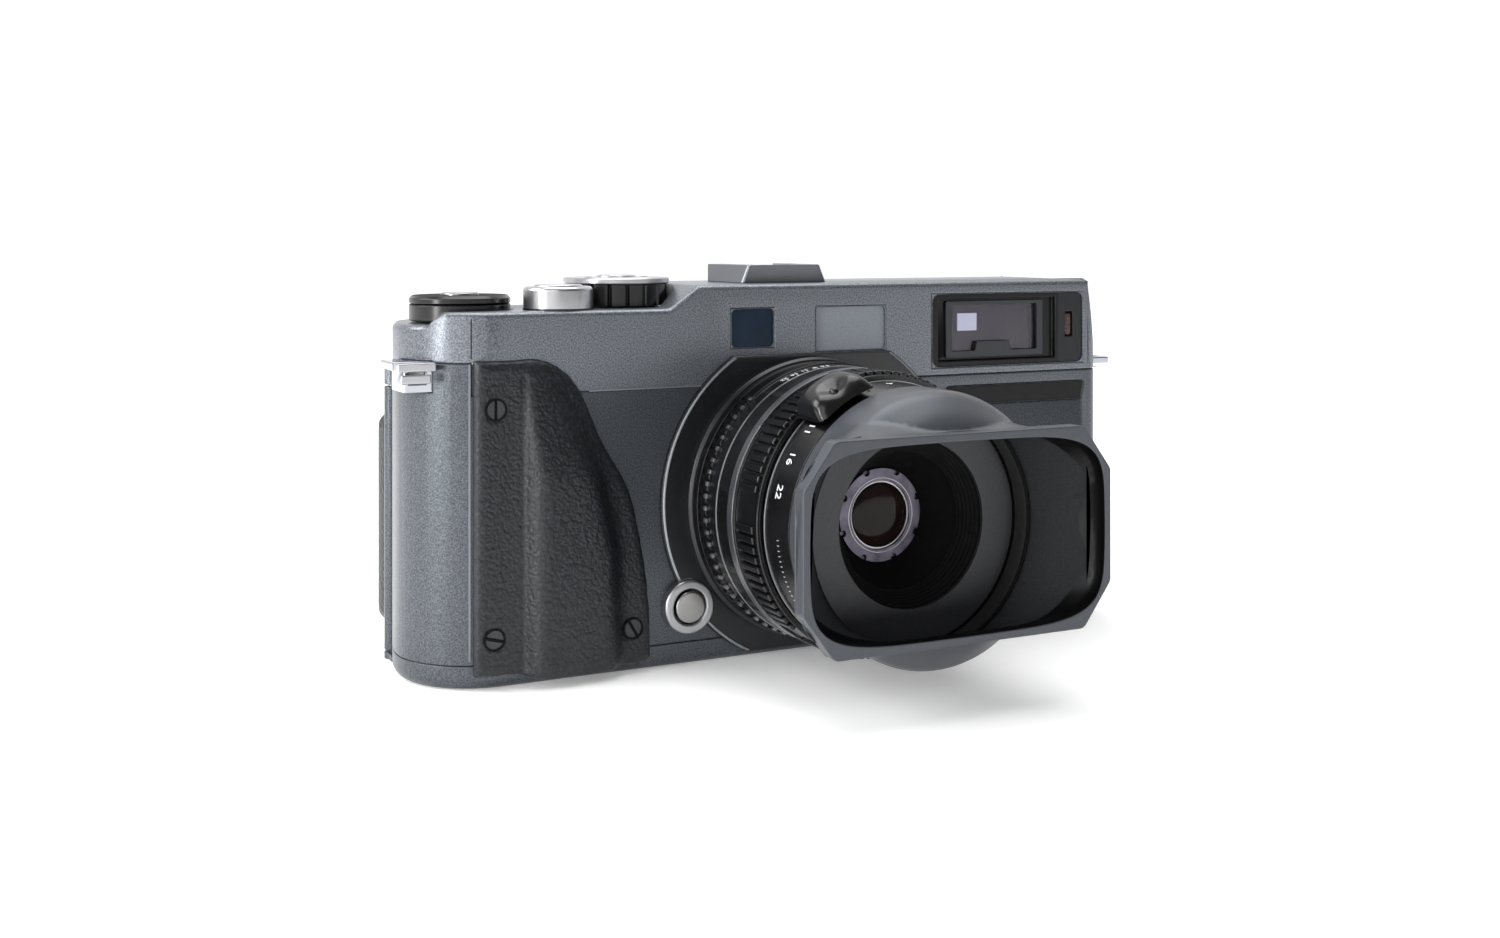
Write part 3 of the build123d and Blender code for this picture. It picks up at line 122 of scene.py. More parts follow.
def ramp(tree, shader, pattern, *stops):
    """A base colour that follows a pattern through stops, each a value and an sRGB hex colour."""
    shades = add_node(tree, "ShaderNodeValToRGB", {"Fac": pattern})
    for element, (value, colour) in zip(shades.color_ramp.elements, stops):
        element.position = value
        element.color = linear(colour)
    tree.links.new(shades.outputs["Color"], shader.inputs["Base Color"])


def emboss(tree, shader, pattern, strength, depth):
    """A bump that follows a pattern, with its depth in millimetres."""
    bump = add_node(
        tree, "ShaderNodeBump", {"Strength": strength, "Distance": depth * mm, "Height": pattern}
    )
    tree.links.new(bump.outputs["Normal"], shader.inputs["Normal"])


def cad_copy(node):
    """A merged copy of a CAD node's mesh, with its flat faces made whole."""
    weld, flat = 0.002 * mm, math.radians(0.3)
    mesh = bmesh.new()
    mesh.from_mesh(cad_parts[node].data)
    bmesh.ops.remove_doubles(mesh, verts=mesh.verts, dist=weld)
    bmesh.ops.dissolve_limit(mesh, angle_limit=flat, verts=mesh.verts, edges=mesh.edges)
    return mesh


def sharper(angle):
    """A test for the edges whose two faces meet at more than an angle in degrees."""
    return lambda edge: len(edge.link_faces) == 2 and edge.calc_face_angle(0) > math.radians(angle)


def finish_piece(name, mesh, materials, body, slot, replaced=(), edge=0.0, bend=30, segments=2, only=None):
    """A bmesh becomes a piece: smooth faces, softened edges, and what it rides on and stands for."""
    if only:
        weight = mesh.edges.layers.float.new("bevel_weight_edge")
        for side in mesh.edges:
            side[weight] = float(only(side))
    data = bpy.data.meshes.new(name)
    mesh.to_mesh(data)
    mesh.free()
    for material in materials:
        data.materials.append(material)
    data.shade_smooth()
    data.set_sharp_from_angle(angle=math.radians(bend))
    piece = bpy.data.objects.new(name, data)
    bpy.context.scene.collection.objects.link(piece)
    if edge:
        soft = piece.modifiers.new("soft_edges", "BEVEL")
        soft.width = edge * mm
        soft.segments = segments
        soft.limit_method = "WEIGHT" if only else "ANGLE"
        soft.angle_limit = math.radians(bend)
        soft.use_clamp_overlap = False
        soft.harden_normals = True
    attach(piece, body)
    if replaced:
        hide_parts(*replaced)
    return piece


def dress(name, node, materials, body, slot, edge, **more):
    """A CAD node's merged copy becomes the piece that stands for it."""
    return finish_piece(name, cad_copy(node), materials, body, slot, [node], edge, **more)


def paint(nodes, material):
    """CAD nodes that stay as they are get a finish."""
    for node in nodes.split():
        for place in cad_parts[node].material_slots:
            place.material = material


# The enamel: aluminium flakes in a dark grey coat, drawn in two shades: the casting's darker as painted
# shade, the cover's lighter as painted light. The real flakes are under 0.1 mm and are drawn at 0.3 mm,
# so that they show as a grain.
def flaked_enamel(name, dark, bright, metallic, roughness):
    """Enamel whose aluminium flakes range from a dark to a bright shade."""
    material, tree, shader, place = start_finish(name, dark, Metallic=metallic, Roughness=roughness)
    flakes = noise(tree, place, 0.3)
    ramp(tree, shader, flakes, (0.34, dark), (0.68, bright))
    emboss(tree, shader, flakes, 0.06, 0.02)
    return material


shaded_enamel = flaked_enamel("shaded_metallic_grey_enamel", "#3d4145", "#63676d", 0.65, 0.34)
lit_enamel = flaked_enamel("lit_metallic_enamel", "#54585e", "#888c93", 0.65, 0.34)

# Matt black paint inside: a sprayed dull coat, with the faint mottle of overspray.
matt_black, tree, shader, place = start_finish("matt_black_paint", "#0b0b0c", Roughness=0.8)
roughen(tree, shader, noise(tree, place, 1.5), 0.7, 0.9)

# Dull optical black: a paint that kills reflections, darker than the matt paint of the chamber.
optical_black, tree, shader, place = start_finish(
    "dull_optical_black", "#030304", Roughness=0.8, Specular_IOR_Level=0.25
)
roughen(tree, shader, noise(tree, place, 2), 0.7, 0.9)


def inside_body(point):
    """Whether a point lies well inside the body's walls."""
    x, y, z = (part / mm for part in point)
    if not all(low < part < high for low, part, high in zip(chamber_low, (x, y, z), chamber_high)):
        return False
    in_front = y < front_corner.y
    centre, reach = (front_corner, front_reach) if in_front else (rear_corner, rear_reach)
    return x > centre.x or (Vector((x, y)) - centre).length < reach


mesh = cad_copy("body_shell")
for face in mesh.faces:
    face.material_index = int(inside_body(face.calc_center_median()))
finish_piece(
    "casting", mesh, [shaded_enamel, matt_black], "camera_body", "dark_paint", ["body_shell"], 0.4
)

# Film gate, tunnel and shutter. A bright ground gate frames the film, in front of it are four black
# curtain leaves, and the moulded tunnel and its two masks keep stray light off the film.
rail_steel, tree, shader, place = start_finish("ground_steel", "#9a9a98", Metallic=1.0, Roughness=0.3)
# the grinder's scratches run along the camera: the scale is stretched across them
grinding = add_node(tree, "ShaderNodeMapping", {"Vector": place, "Scale": (40, 900, 2500)})
scratches = add_node(tree, "ShaderNodeTexNoise", {"Vector": grinding.outputs["Vector"], "Scale": 1.0})
roughen(tree, shader, scratches.outputs["Fac"], 0.2, 0.42)

moulded, tree, shader, place = start_finish("black_moulded_plastic", "#141415", Roughness=0.5)
emboss(tree, shader, noise(tree, place, 0.5, 1.0), 0.25, 0.03)

paint("film_gate motor rewind_fork hinge_pin", rail_steel)
paint("light_tunnel format_mask_left format_mask_right take_up_spool viewfinder_block", moulded)
paint("first_curtain_lower first_curtain_upper second_curtain_lower second_curtain_upper", matt_black)
paint(" ".join(f"iris_blade_{number}" for number in range(1, 6)), matt_black)

# Batteries, their cap and the base. Two cells in printed steel cans stand in the left end under a
# slotted plastic cap, and the base is a pressed cover with a flanged steel tripod bush.
foil, tree, shader, place = start_finish("battery_foil", "#8a8f7c", Metallic=0.8, Roughness=0.35)
roughen(tree, shader, noise(tree, place, 6), 0.28, 0.42)
paint("batteries", foil)

dress("base_cover", "bottom_cover", [shaded_enamel], "camera_body", "dark_paint", 0.2, only=sharper(60))
dress("tripod_socket", "tripod_bush", [rail_steel], "camera_body", "steel", 0.15)
dress("battery_door", "battery_cap", [moulded], "battery_cap", "black_plastic", 0.3)

# Top cover. A drawn and milled cover in the lighter enamel, lighter as painted light, its low deck for
# the dials joined to the high deck by a step. It is screwed to the casting from below, so no screw shows.
dress("deck_cover", "top_cover", [lit_enamel], "camera_body", "dark_paint", 0.35, only=sharper(50))

# Finder front. A black moulded bezel, with a lighter end plate round the self-timer lamp, is let into
# the cover. A grey frame holds the coated pane. Behind it a dark block is painted shade for the optics,
# and a glowing block is painted light for the bright window.
bezel_left, bezel_right = 35.0, 77.8
end_plate = 70.6
bezel_black, tree, shader, place = start_finish(
    "black_bezel_plastic", "#0c0d0f", Roughness=0.3, Specular_IOR_Level=0.3
)
across = add_node(tree, "ShaderNodeSeparateXYZ", {"Vector": place})
past = add_node(
    tree,
    "ShaderNodeMapRange",
    {"Value": across.outputs["X"], "From Min": end_plate * mm, "From Max": (end_plate + 0.3) * mm},
)
shade(tree, shader, past.outputs["Result"], "#050608", "#1c1e22")
dress("finder_bezel", "viewfinder_bezel", [bezel_black], "camera_body", "black_paint", 0.3)


def block(low, high):
    """A box between two corners in millimetres."""
    low, high = Vector(low) * mm, Vector(high) * mm
    mesh = bmesh.new()
    size = Matrix.Diagonal((*(high - low), 1))
    bmesh.ops.create_cube(mesh, size=1, matrix=Matrix.Translation((low + high) / 2) @ size)
    return mesh


def join(meshes):
    """Several bmeshes as one."""
    whole = bmesh.new()
    for mesh in meshes:
        data = bpy.data.meshes.new("part")
        mesh.to_mesh(data)
        mesh.free()
        whole.from_mesh(data)
        bpy.data.meshes.remove(data)
    return whole


def rounded_frame(box, hole, corner, front, back, square_outside=True):
    """A flat frame: left, right, low and high of its outside and of its round-cornered hole."""
    mesh = bmesh.new()
    loops = []
    for (left, right, low, high), round_it in ((box, not square_outside), (hole, True)):
        points = []
        for x, z, start in (
            (right, high, 0),
            (left, high, 90),
            (left, low, 180),
            (right, low, 270),
        ):
            if not round_it:
                points.append((x, z))
                continue
            centre_x = x - corner if x == right else x + corner
            centre_z = z - corner if z == high else z + corner
            for turn in range(start, start + 91, 15):
                points.append(
                    (
                        centre_x + corner * math.cos(math.radians(turn)),
                        centre_z + corner * math.sin(math.radians(turn)),
                    )
                )
        verts = [mesh.verts.new((x * mm, front * mm, z * mm)) for x, z in points]
        loops += [mesh.edges.new(pair) for pair in zip(verts, verts[1:] + verts[:1])]
    bmesh.ops.triangle_fill(mesh, edges=loops, use_beauty=True, normal=(0, -1, 0))
    wall = bmesh.ops.extrude_face_region(mesh, geom=list(mesh.faces), use_keep_orig=True)
    behind = [item for item in wall["geom"] if isinstance(item, bmesh.types.BMVert)]
    bmesh.ops.translate(mesh, verts=behind, vec=(0, (back - front) * mm, 0))
    bmesh.ops.recalc_face_normals(mesh, faces=mesh.faces)
    return mesh


def set_back(node, depth):
    """A pane's copy with its front face moved back in its opening."""
    mesh = cad_copy(node)
    front = min(vertex.co.y for vertex in mesh.verts)
    for vertex in mesh.verts:
        if vertex.co.y < front + 0.1 * mm:
            vertex.co.y += depth * mm
    return mesh


# the rounded corners of the bezel's opening, in the cover's enamel
bezel_box = (bezel_left, bezel_right, 59.9, 76.65)
bezel_hole = (bezel_left + 0.12, bezel_right - 0.12, 60.02, 76.53)
bezel_corners = rounded_frame(bezel_box, bezel_hole, 1.8, front_y + 0.01, front_y + 0.28)
finish_piece("bezel_corners", bezel_corners, [lit_enamel], "camera_body", "dark_paint", edge=0.06)

# the frame round the pane, and its trapezoid tongue
frame_plastic, tree, shader, place = start_finish("grey_frame_plastic", "#26292e", Roughness=0.42)
roughen(tree, shader, noise(tree, place, 0.4), 0.36, 0.48)
frame_front, frame_back = -17.1, -16.45
frame_outside = (39.4, 66.7, 61.9, 74.9)
pane_hole = (41.1, 65.0, 63.4, 74.0)
bars = rounded_frame(frame_outside, pane_hole, 0.5, frame_front, frame_back, False)
sill = pane_hole[2]
tongue_left, tongue_right, tongue_slope = 47.3, 57.8, 0.8
tongue = block((tongue_left, frame_front - 0.02, sill - 0.6), (tongue_right, frame_back + 0.02, sill + 2.2))
for vertex in tongue.verts:
    if vertex.co.z > sill * mm:
        vertex.co.x += (tongue_slope if vertex.co.x < (tongue_left + 1) * mm else -tongue_slope) * mm
finish_piece("pane_frame", join([bars, tongue]), [frame_plastic], "camera_body", "black_plastic", edge=0.12)

# a coated pane: nearly clear, with the purple bloom of its coating
pane_glass, tree, shader, place = start_finish(
    "coated_window_glass",
    "#bdb3c9",
    Roughness=0.02,
    IOR=1.5,
    Specular_IOR_Level=0.2,
    Transmission_Weight=0.95,
)
shade(tree, shader, noise(tree, place, 9, 1.0), "#968eb0", "#b3a5b0")
dress("finder_pane", "viewfinder_window", [pane_glass], "camera_body", "window_glass", 0.1)

# what is seen through the pane, painted: dark optics as painted shade with plum and brown painted
# reflections, and a glowing patch as painted light for the lit window
finder_shade_paint, tree, shader, place = start_finish("plum_painted_reflections", "#2a2430", Roughness=0.35)
ramp(tree, shader, noise(tree, place, 5), (0.38, "#1a1720"), (0.66, "#4d3f4a"))
finish_piece(
    "finder_painted_shade",
    block((41.2, -13.6, 63.4), (65.0, -13.05, 74.0)),
    [finder_shade_paint],
    "camera_body",
    "window_glass",
    edge=0.1,
)
# a glowing patch, though no lamp: painted light for the bright window
glow_paint, tree, shader, place = start_finish("lavender_painted_glow", "#dfe2f2", Roughness=0.3)
shader.inputs["Emission Color"].default_value = linear("#d0e4dc")
shader.inputs["Emission Strength"].default_value = 1.9
shade(tree, shader, noise(tree, place, 4), "#c8cde2", "#eef0fa")
finish_piece(
    "finder_painted_glow",
    block((44.5, -13.95, 67.9), (49.7, -13.55, 71.9)),
    [glow_paint],
    "camera_body",
    "frosted",
    edge=0.08,
)

# Rangefinder and illumination windows and the lamp. The first is deep blue coated glass, the second
# is ground on its back, and the lamp is a moulded red-brown lens; all are cemented into the cover.
blue_glass, tree, shader, place = start_finish(
    "blue_coated_glass", "#10202e", Roughness=0.06, IOR=1.5, Specular_IOR_Level=0.12
)
shade(tree, shader, noise(tree, place, 7), "#0b1a28", "#162c40")
finish_piece(
    "range_pane",
    set_back("rangefinder_window", 0.5),
    [blue_glass],
    "camera_body",
    "range_glass",
    ["rangefinder_window"],
    0.15,
)
ground_glass, tree, shader, place = start_finish("ground_glass", "#8b9099", Roughness=0.38, IOR=1.5)
shade(tree, shader, noise(tree, place, 0.5), "#747a82", "#8f959d")
finish_piece(
    "light_pane",
    set_back("illumination_window", 0.35),
    [ground_glass],
    "camera_body",
    "frosted",
    ["illumination_window"],
    0.15,
)

# the rounded corners of both openings, in the cover's enamel
range_box, light_box = (-15.8, -5.3, 65.9, 74.3), (4.9, 22.7, 64.6, 74.4)
for name, (left, right, low, high) in (("range_corners", range_box), ("light_corners", light_box)):
    hole = (left + 0.12, right - 0.12, low + 0.12, high - 0.12)
    corners = rounded_frame((left, right, low, high), hole, 1.1, front_y + 0.01, front_y + 0.7)
    finish_piece(name, corners, [lit_enamel], "camera_body", "dark_paint", edge=0.06)
lamp_red, tree, shader, place = start_finish("red_lamp_plastic", "#3a2422", Roughness=0.2)
facets = add_node(tree, "ShaderNodeTexWave", {"Vector": place, "Scale": 1 / (3 * mm)}, bands_direction="Z")
shade(tree, shader, facets.outputs["Fac"], "#2b1d1a", "#4a2a20")
dress("timer_lamp", "self_timer_lamp", [lamp_red], "camera_body", "lamp_lens", 0.9, segments=4)

# Name plate. A thin plate of black anodised aluminium is cemented into its recess under the finder.
# Its ends lean, and nothing is printed on it.
plate_black, tree, shader, place = start_finish(
    "black_anodised_plate", "#0a0a0b", Roughness=0.35, Specular_IOR_Level=0.25
)
roughen(tree, shader, noise(tree, place, 0.4), 0.3, 0.42)
mesh = block((38.3, -17.75, 51.4), (78.1, -17.55, 55.3))
plate_lean = 1.0
for vertex in mesh.verts:
    high, left = vertex.co.z > 53 * mm, vertex.co.x < 50 * mm
    if high == left:
        vertex.co.x += (plate_lean if left else -plate_lean) * mm
finish_piece("bare_name_plate", mesh, [plate_black], "camera_body", "black_paint", edge=0.08)

# Grip. A moulded panel of black rubber with a leather grain, swollen for the fingers, held by three
# slotted screws with dark heads. Its forms run softly into each other, as a moulding's do.
grip_screws, slot_turns = ((-68.2, 55.5), (-68.5, 10.3), (-39.0, 9.4)), (90, -15, -60)
rubber, tree, shader, place = start_finish("grained_rubber", "#1a1c1f", Roughness=0.42)
# grain of 0.8 mm pebbles between creases, broken up by a finer one
pebbles = add_node(
    tree,
    "ShaderNodeTexVoronoi",
    {"Vector": place, "Scale": 1 / (0.8 * mm), "Randomness": 0.9},
    feature="SMOOTH_F1",
)
grain = add_node(
    tree, "ShaderNodeMath", {0: pebbles.outputs["Distance"], 1: noise(tree, place, 0.6)}, operation="ADD"
)
emboss(tree, shader, grain.outputs["Value"], 0.75, 0.2)
ramp(tree, shader, grain.outputs["Value"], (0.3, "#222a34"), (1.0, "#090c10"))


def softened(node, voxel, rounds, free_part):
    """A CAD node's copy with an even mesh, its free part smoothed so that its forms run together."""
    mesh = cad_copy(node)
    data = bpy.data.meshes.new("even")
    mesh.to_mesh(data)
    mesh.free()
    block_out = bpy.data.objects.new("even", data)
    bpy.context.scene.collection.objects.link(block_out)
    even = block_out.modifiers.new("even", "REMESH")
    even.mode = "VOXEL"
    even.voxel_size = voxel * mm
    graph = bpy.context.evaluated_depsgraph_get()
    result = bpy.data.meshes.new_from_object(block_out.evaluated_get(graph))
    bpy.data.objects.remove(block_out)
    mesh = bmesh.new()
    mesh.from_mesh(result)
    free_verts = [vertex for vertex in mesh.verts if free_part(vertex.co / mm)]
    for _ in range(rounds):
        bmesh.ops.smooth_vert(
            mesh, verts=free_verts, factor=0.5, use_axis_x=True, use_axis_y=True, use_axis_z=True
        )
    return mesh


pocket_radius, skin_y = 2.7, -18.35


def grip_skin(point):
    """The front of the grip, clear of its screw pockets."""
    near = min((Vector((x, z)) - Vector((point.x, point.z))).length for x, z in grip_screws)
    return point.y < skin_y and near > pocket_radius


mesh = softened("grip_panel", 0.5, 26, grip_skin)
# the valley between the flat column of the screws and the swelling
valley_x, valley_width, valley_depth = -62.4, 0.8, 0.4
for vertex in mesh.verts:
    point = vertex.co / mm
    if point.y < -18.9 and 3.4 < point.z < 62:
        vertex.co.y += valley_depth * mm * math.exp(-(((point.x - valley_x) / valley_width) ** 2))
finish_piece("grip", mesh, [rubber], "camera_body", "grip_rubber", ["grip_panel"], bend=60)

blued, tree, shader, place = start_finish("blackened_steel", "#3f4145", Metallic=0.7, Roughness=0.38)
roughen(tree, shader, noise(tree, place, 0.3), 0.28, 0.45)
dress("grip_screw_heads", "grip_screws", [blued], "camera_body", "black_metal", 0.12)


def flat_ring(centre, outer, inner, thickness):
    """A flat ring that faces forward, with its front at the centre's distance."""
    mesh = bmesh.new()
    for radius in (outer, inner):
        bmesh.ops.create_circle(mesh, cap_ends=False, segments=48, radius=radius * mm)
    bmesh.ops.bridge_loops(mesh, edges=mesh.edges)
    wall = bmesh.ops.extrude_face_region(mesh, geom=list(mesh.faces), use_keep_orig=True)
    behind = [item for item in wall["geom"] if isinstance(item, bmesh.types.BMVert)]
    bmesh.ops.translate(mesh, verts=behind, vec=(0, 0, thickness * mm))
    facing = Matrix.Rotation(math.radians(-90), 3, "X")
    bmesh.ops.rotate(mesh, verts=mesh.verts, cent=(0, 0, 0), matrix=facing)
    bmesh.ops.translate(mesh, verts=mesh.verts, vec=Vector(centre) * mm)
    bmesh.ops.recalc_face_normals(mesh, faces=mesh.faces)
    return mesh


# painted shade: black rings for the dark gap round each head, and black bars for its slot
head_radius = 1.85
rims = [flat_ring((x, -19.85, z), 2.25, head_radius, 0.5) for x, z in grip_screws]
for (x, z), turn in zip(grip_screws, slot_turns):
    groove = block((-head_radius, -0.05, -0.16), (head_radius, 0.3, 0.16))
    lie = Matrix.Translation(Vector((x, -19.6, z)) * mm) @ Matrix.Rotation(math.radians(-turn), 4, "Y")
    bmesh.ops.transform(groove, matrix=lie, verts=groove.verts)
    rims.append(groove)
finish_piece("grip_screw_shade_marks", join(rims), [optical_black], "camera_body", "black_metal")

# Escutcheon and body bayonet. A black stove-enamelled plate, cut flat above and below, covers the
# front round the lens, its edge painted bright grey as a painted highlight, and the black bayonet ring is
# screwed into its middle.
stove_black, tree, shader, place = start_finish("black_stove_enamel", "#141619", Roughness=0.26)
emboss(tree, shader, noise(tree, place, 0.5), 0.05, 0.02)
# a bright grey enamel for painted highlights on edges
bright_edge_paint, tree, shader, place = start_finish("painted_highlight_enamel", "#94989d", Metallic=0.8, Roughness=0.3)
roughen(tree, shader, noise(tree, place, 4), 0.3, 0.42)


# painted highlights in bright grey along the edges of the seam beside the escutcheon and of the ear
# beside the grip, and a black strip of painted shade in the cover's crease
seam_highlight = block((-48, -18.12, 58.1), (-20, -17.9, 58.42))
ear_highlight = block((-72.9, -17.1, 6.0), (-72.55, -16.3, 64.4))
edges = join([seam_highlight, ear_highlight])
finish_piece("painted_edge_highlights", edges, [bright_edge_paint], "camera_body", "dark_paint", edge=0.04)
# a black strip in the crease: painted shade
crease = block((-72.5, -16.85, 65.4), (-72.25, -16.3, 73.4))
finish_piece("cover_crease_shade", crease, [stove_black], "camera_body", "dark_paint", edge=0.04)


# the escutcheon: the middle of its round sides, and the least radius, top and foot of its rim
boss_x, boss_z = 3.8, 33.75
rim_radius, rim_top, rim_foot = 33, 64, 1.8


def boss_rim(edge):
    """Whether an edge lies on the outside of the escutcheon's front."""
    x, y, z = ((edge.verts[0].co + edge.verts[1].co) / 2 / mm)[:]
    round_side = math.hypot(x - boss_x, z - boss_z) > rim_radius
    return y < -19.4 and (round_side or z > rim_top or z < rim_foot)


plate = dress(
    "escutcheon", "lens_boss", [stove_black, bright_edge_paint], "camera_body", "black_paint", 0.25, only=boss_rim
)
# the bevel's faces on the rim take the bright grey: a painted highlight
plate.modifiers["soft_edges"].material = 1

satin_steel, tree, shader, place = start_finish(
    "satin_plated_steel", "#b4b4b7", Metallic=1.0, Roughness=0.28
)
roughen(tree, shader, noise(tree, place, 3, 0.0), 0.26, 0.33)
dress("body_bayonet", "body_mount_ring", [stove_black], "camera_body", "steel", 0.15)

# Lens release button. A turned steel button in a chamfered steel collar at the foot of the lens,
# with the rings that the lathe leaves on its face.
button_centre = Vector((-26.4, 0, 12.6)) * mm
faced_steel, tree, shader, place = start_finish("faced_steel", "#a3a2a1", Metallic=1.0, Roughness=0.25)
centred = add_node(tree, "ShaderNodeMapping", {"Vector": place, "Location": tuple(-button_centre)})
# rings 0.5 mm apart, coarser than the tool's real marks so that they show
rings = add_node(
    tree,
    "ShaderNodeTexWave",
    {"Vector": centred.outputs["Vector"], "Scale": 1 / (10 * mm), "Distortion": 0.0},
    wave_type="RINGS",
    rings_direction="Y",
)
emboss(tree, shader, rings.outputs["Fac"], 0.2, 0.05)
dress("release_collar_ring", "release_ring", [satin_steel], "camera_body", "steel", 0.2)
dress("release_button", "lens_release_button", [faced_steel], "lens_release_button", "steel", 0.25)

# Fixed barrel. A black anodised tube with a scalloped ring at its foot, the engraved depth scale
# behind a fine bright ring, and a satin plated band where the focus ring begins.
lens_x, lens_z = 2.6, 33.75
lens_centre = Vector((lens_x, front_y, lens_z)) * mm
forward = Vector((0, -1, 0))


def spun(profile, foot, axis, steps):
    """A turned piece, from its profile of radius and height over its foot on an axis."""
    mesh = bmesh.new()
    side = Vector((1, 0, 0))
    ring = [mesh.verts.new(foot + (side * radius + axis * height) * mm) for radius, height in profile]
    ends = ring[1:] if profile[0][0] == profile[-1][0] == 0 else ring[1:] + ring[:1]
    edges = [mesh.edges.new(pair) for pair in zip(ring, ends)]
    bmesh.ops.spin(
        mesh, geom=ring + edges, cent=foot, axis=axis, angle=2 * math.pi, steps=steps, use_merge=True
    )
    bmesh.ops.remove_doubles(mesh, verts=mesh.verts, dist=0.001 * mm)
    bmesh.ops.recalc_face_normals(mesh, faces=mesh.faces)
    return mesh


def turned(profile, steps=144):
    """A turned piece about the lens axis, from its profile of radius and distance from the body."""
    return spun(profile, lens_centre, forward, steps)


def band(outer, inner, rear, front, steps=144):
    """A plain turned band."""
    return turned(((outer, rear), (outer, front), (inner, front), (inner, rear)), steps)


anodised, tree, shader, place = start_finish("black_anodised_aluminium", "#09090b", Roughness=0.24)
roughen(tree, shader, noise(tree, place, 5, 0.0), 0.21, 0.27)
dress("lens_flange", "lens_mount", [anodised], "camera_body", "black_paint", 0.15)
dress("barrel", "lens_barrel", [anodised], "camera_body", "black_paint", 0.22)
# a bright steel facet at each scallop: painted glints of the scallops' edges
teeth, first_tooth, tooth_span = 58, 130, 280
trims = [band(28.84, 28.5, 13.7, 14.15), band(28.82, 28.5, 19.0, 21.2)]
for tooth in range(teeth):
    angle = first_tooth + tooth_span * tooth / (teeth - 1)
    facet = block((28.75, -0.42, 8.9), (29.28, 0.42, 10.05))
    turn = Matrix.Rotation(math.radians(90), 4, "X")
    bmesh.ops.transform(facet, matrix=turn, verts=facet.verts)
    spin = Matrix.Translation(lens_centre) @ Matrix.Rotation(math.radians(-angle), 4, "Y")
    bmesh.ops.transform(facet, matrix=spin, verts=facet.verts)
    trims.append(facet)
finish_piece("barrel_bands_and_glints", join(trims), [satin_steel], "camera_body", "steel", edge=0.06)


def engraved(marks, radius):
    """Marks painted on a ring: each has its words, height, angle and distance from the body."""
    whole = bmesh.new()
    for words, height, angle, distance in marks:
        text = bpy.data.curves.new("mark", "FONT")
        text.body = words
        text.size = height * mm
        text.align_x = "CENTER"
        text.align_y = "CENTER"
        text.extrude = 0.03 * mm
        text.resolution_u = 3
        holder = bpy.data.objects.new("mark", text)
        bpy.context.scene.collection.objects.link(holder)
        graph = bpy.context.evaluated_depsgraph_get()
        data = bpy.data.meshes.new_from_object(holder.evaluated_get(graph))
        bpy.data.objects.remove(holder)
        for vertex in data.vertices:
            along = math.radians(angle) + vertex.co.x / (radius * mm)
            reach = radius * mm + vertex.co.z
            spot = Vector((reach * math.cos(along), -distance * mm - vertex.co.y, reach * math.sin(along)))
            vertex.co = lens_centre + spot
        whole.from_mesh(data)
        bpy.data.meshes.remove(data)
    return whole


white_fill, tree, shader, place = start_finish("white_engraving_paint", "#e8e8e6", Roughness=0.5)
shade(tree, shader, noise(tree, place, 0.4), "#d6d6d4", "#f2f2f0")
red_fill, tree, shader, place = start_finish("red_engraving_paint", "#c03a30", Roughness=0.5)
shade(tree, shader, noise(tree, place, 0.4), "#b0332b", "#d0463a")
# the depth scale: the stops on both sides of the red index, with strokes in front of them
stops = ("22", "16", "11", "8", "5.6")
mark_step, first_mark, last_mark, scale_radius = 5.0, 114, 58, 28.73
depth_marks = [(stop, 1.7, first_mark - mark_step * order, 11.4) for order, stop in enumerate(stops)]
depth_marks += [(stop, 1.7, last_mark + mark_step * order, 11.4) for order, stop in enumerate(stops)]
depth_marks += [("l", 1.4, first_mark - mark_step * number, 12.9) for number in range(12)]
finish_piece("depth_scale", engraved(depth_marks, scale_radius), [white_fill], "camera_body", "frosted")
finish_piece("focus_index", engraved([("l", 2.6, 86, 12.2)], 28.74), [red_fill], "camera_body", "lamp_lens")

# Focus ring. An anodised ring with six groups of milled ribs and a finger tab, a hump that is
# hollowed for the fingertip, with a small knob in the hollow.


def lens_place(point):
    """A point's radius and angle about the lens axis, and its distance from the body."""
    arm = point - lens_centre
    return math.hypot(arm.x, arm.z) / mm, math.degrees(math.atan2(arm.z, arm.x)), -arm.y / mm


def at_lens(radius, angle, distance):
    """The point at a radius, angle and distance about the lens axis."""
    turn = math.radians(angle)
    return lens_centre + Vector((radius * math.cos(turn), -distance, radius * math.sin(turn))) * mm


ring_profile = ((28.0, 21.6), (28.2, 21.8), (28.2, 30.5), (28.0, 30.7), (26.65, 30.7), (26.65, 21.6))
mesh = turned(ring_profile)
finish_piece("focus_grip_ring", mesh, [anodised], "focus_ring", "black_paint", ["focus_ring"])

# six groups of twelve rounded ribs
rib_groups, group_ribs, rib_step, first_rib = 6, 12, 4, 122
ribs = []
for group in range(rib_groups):
    for rib in range(group_ribs):
        angle = first_rib + 360 / rib_groups * group + rib_step * rib
        bar = block((27.8, -0.76, 22.5), (28.95, 0.76, 29.9))
        lie_flat = Matrix.Rotation(math.radians(90), 4, "X")
        around = Matrix.Rotation(math.radians(-angle), 4, "Y")
        lie = Matrix.Translation(lens_centre) @ around @ lie_flat
        bmesh.ops.transform(bar, matrix=lie, verts=bar.verts)
        ribs.append(bar)
finish_piece("focus_ribs", join(ribs), [anodised], "focus_ring", "black_paint", edge=0.4)

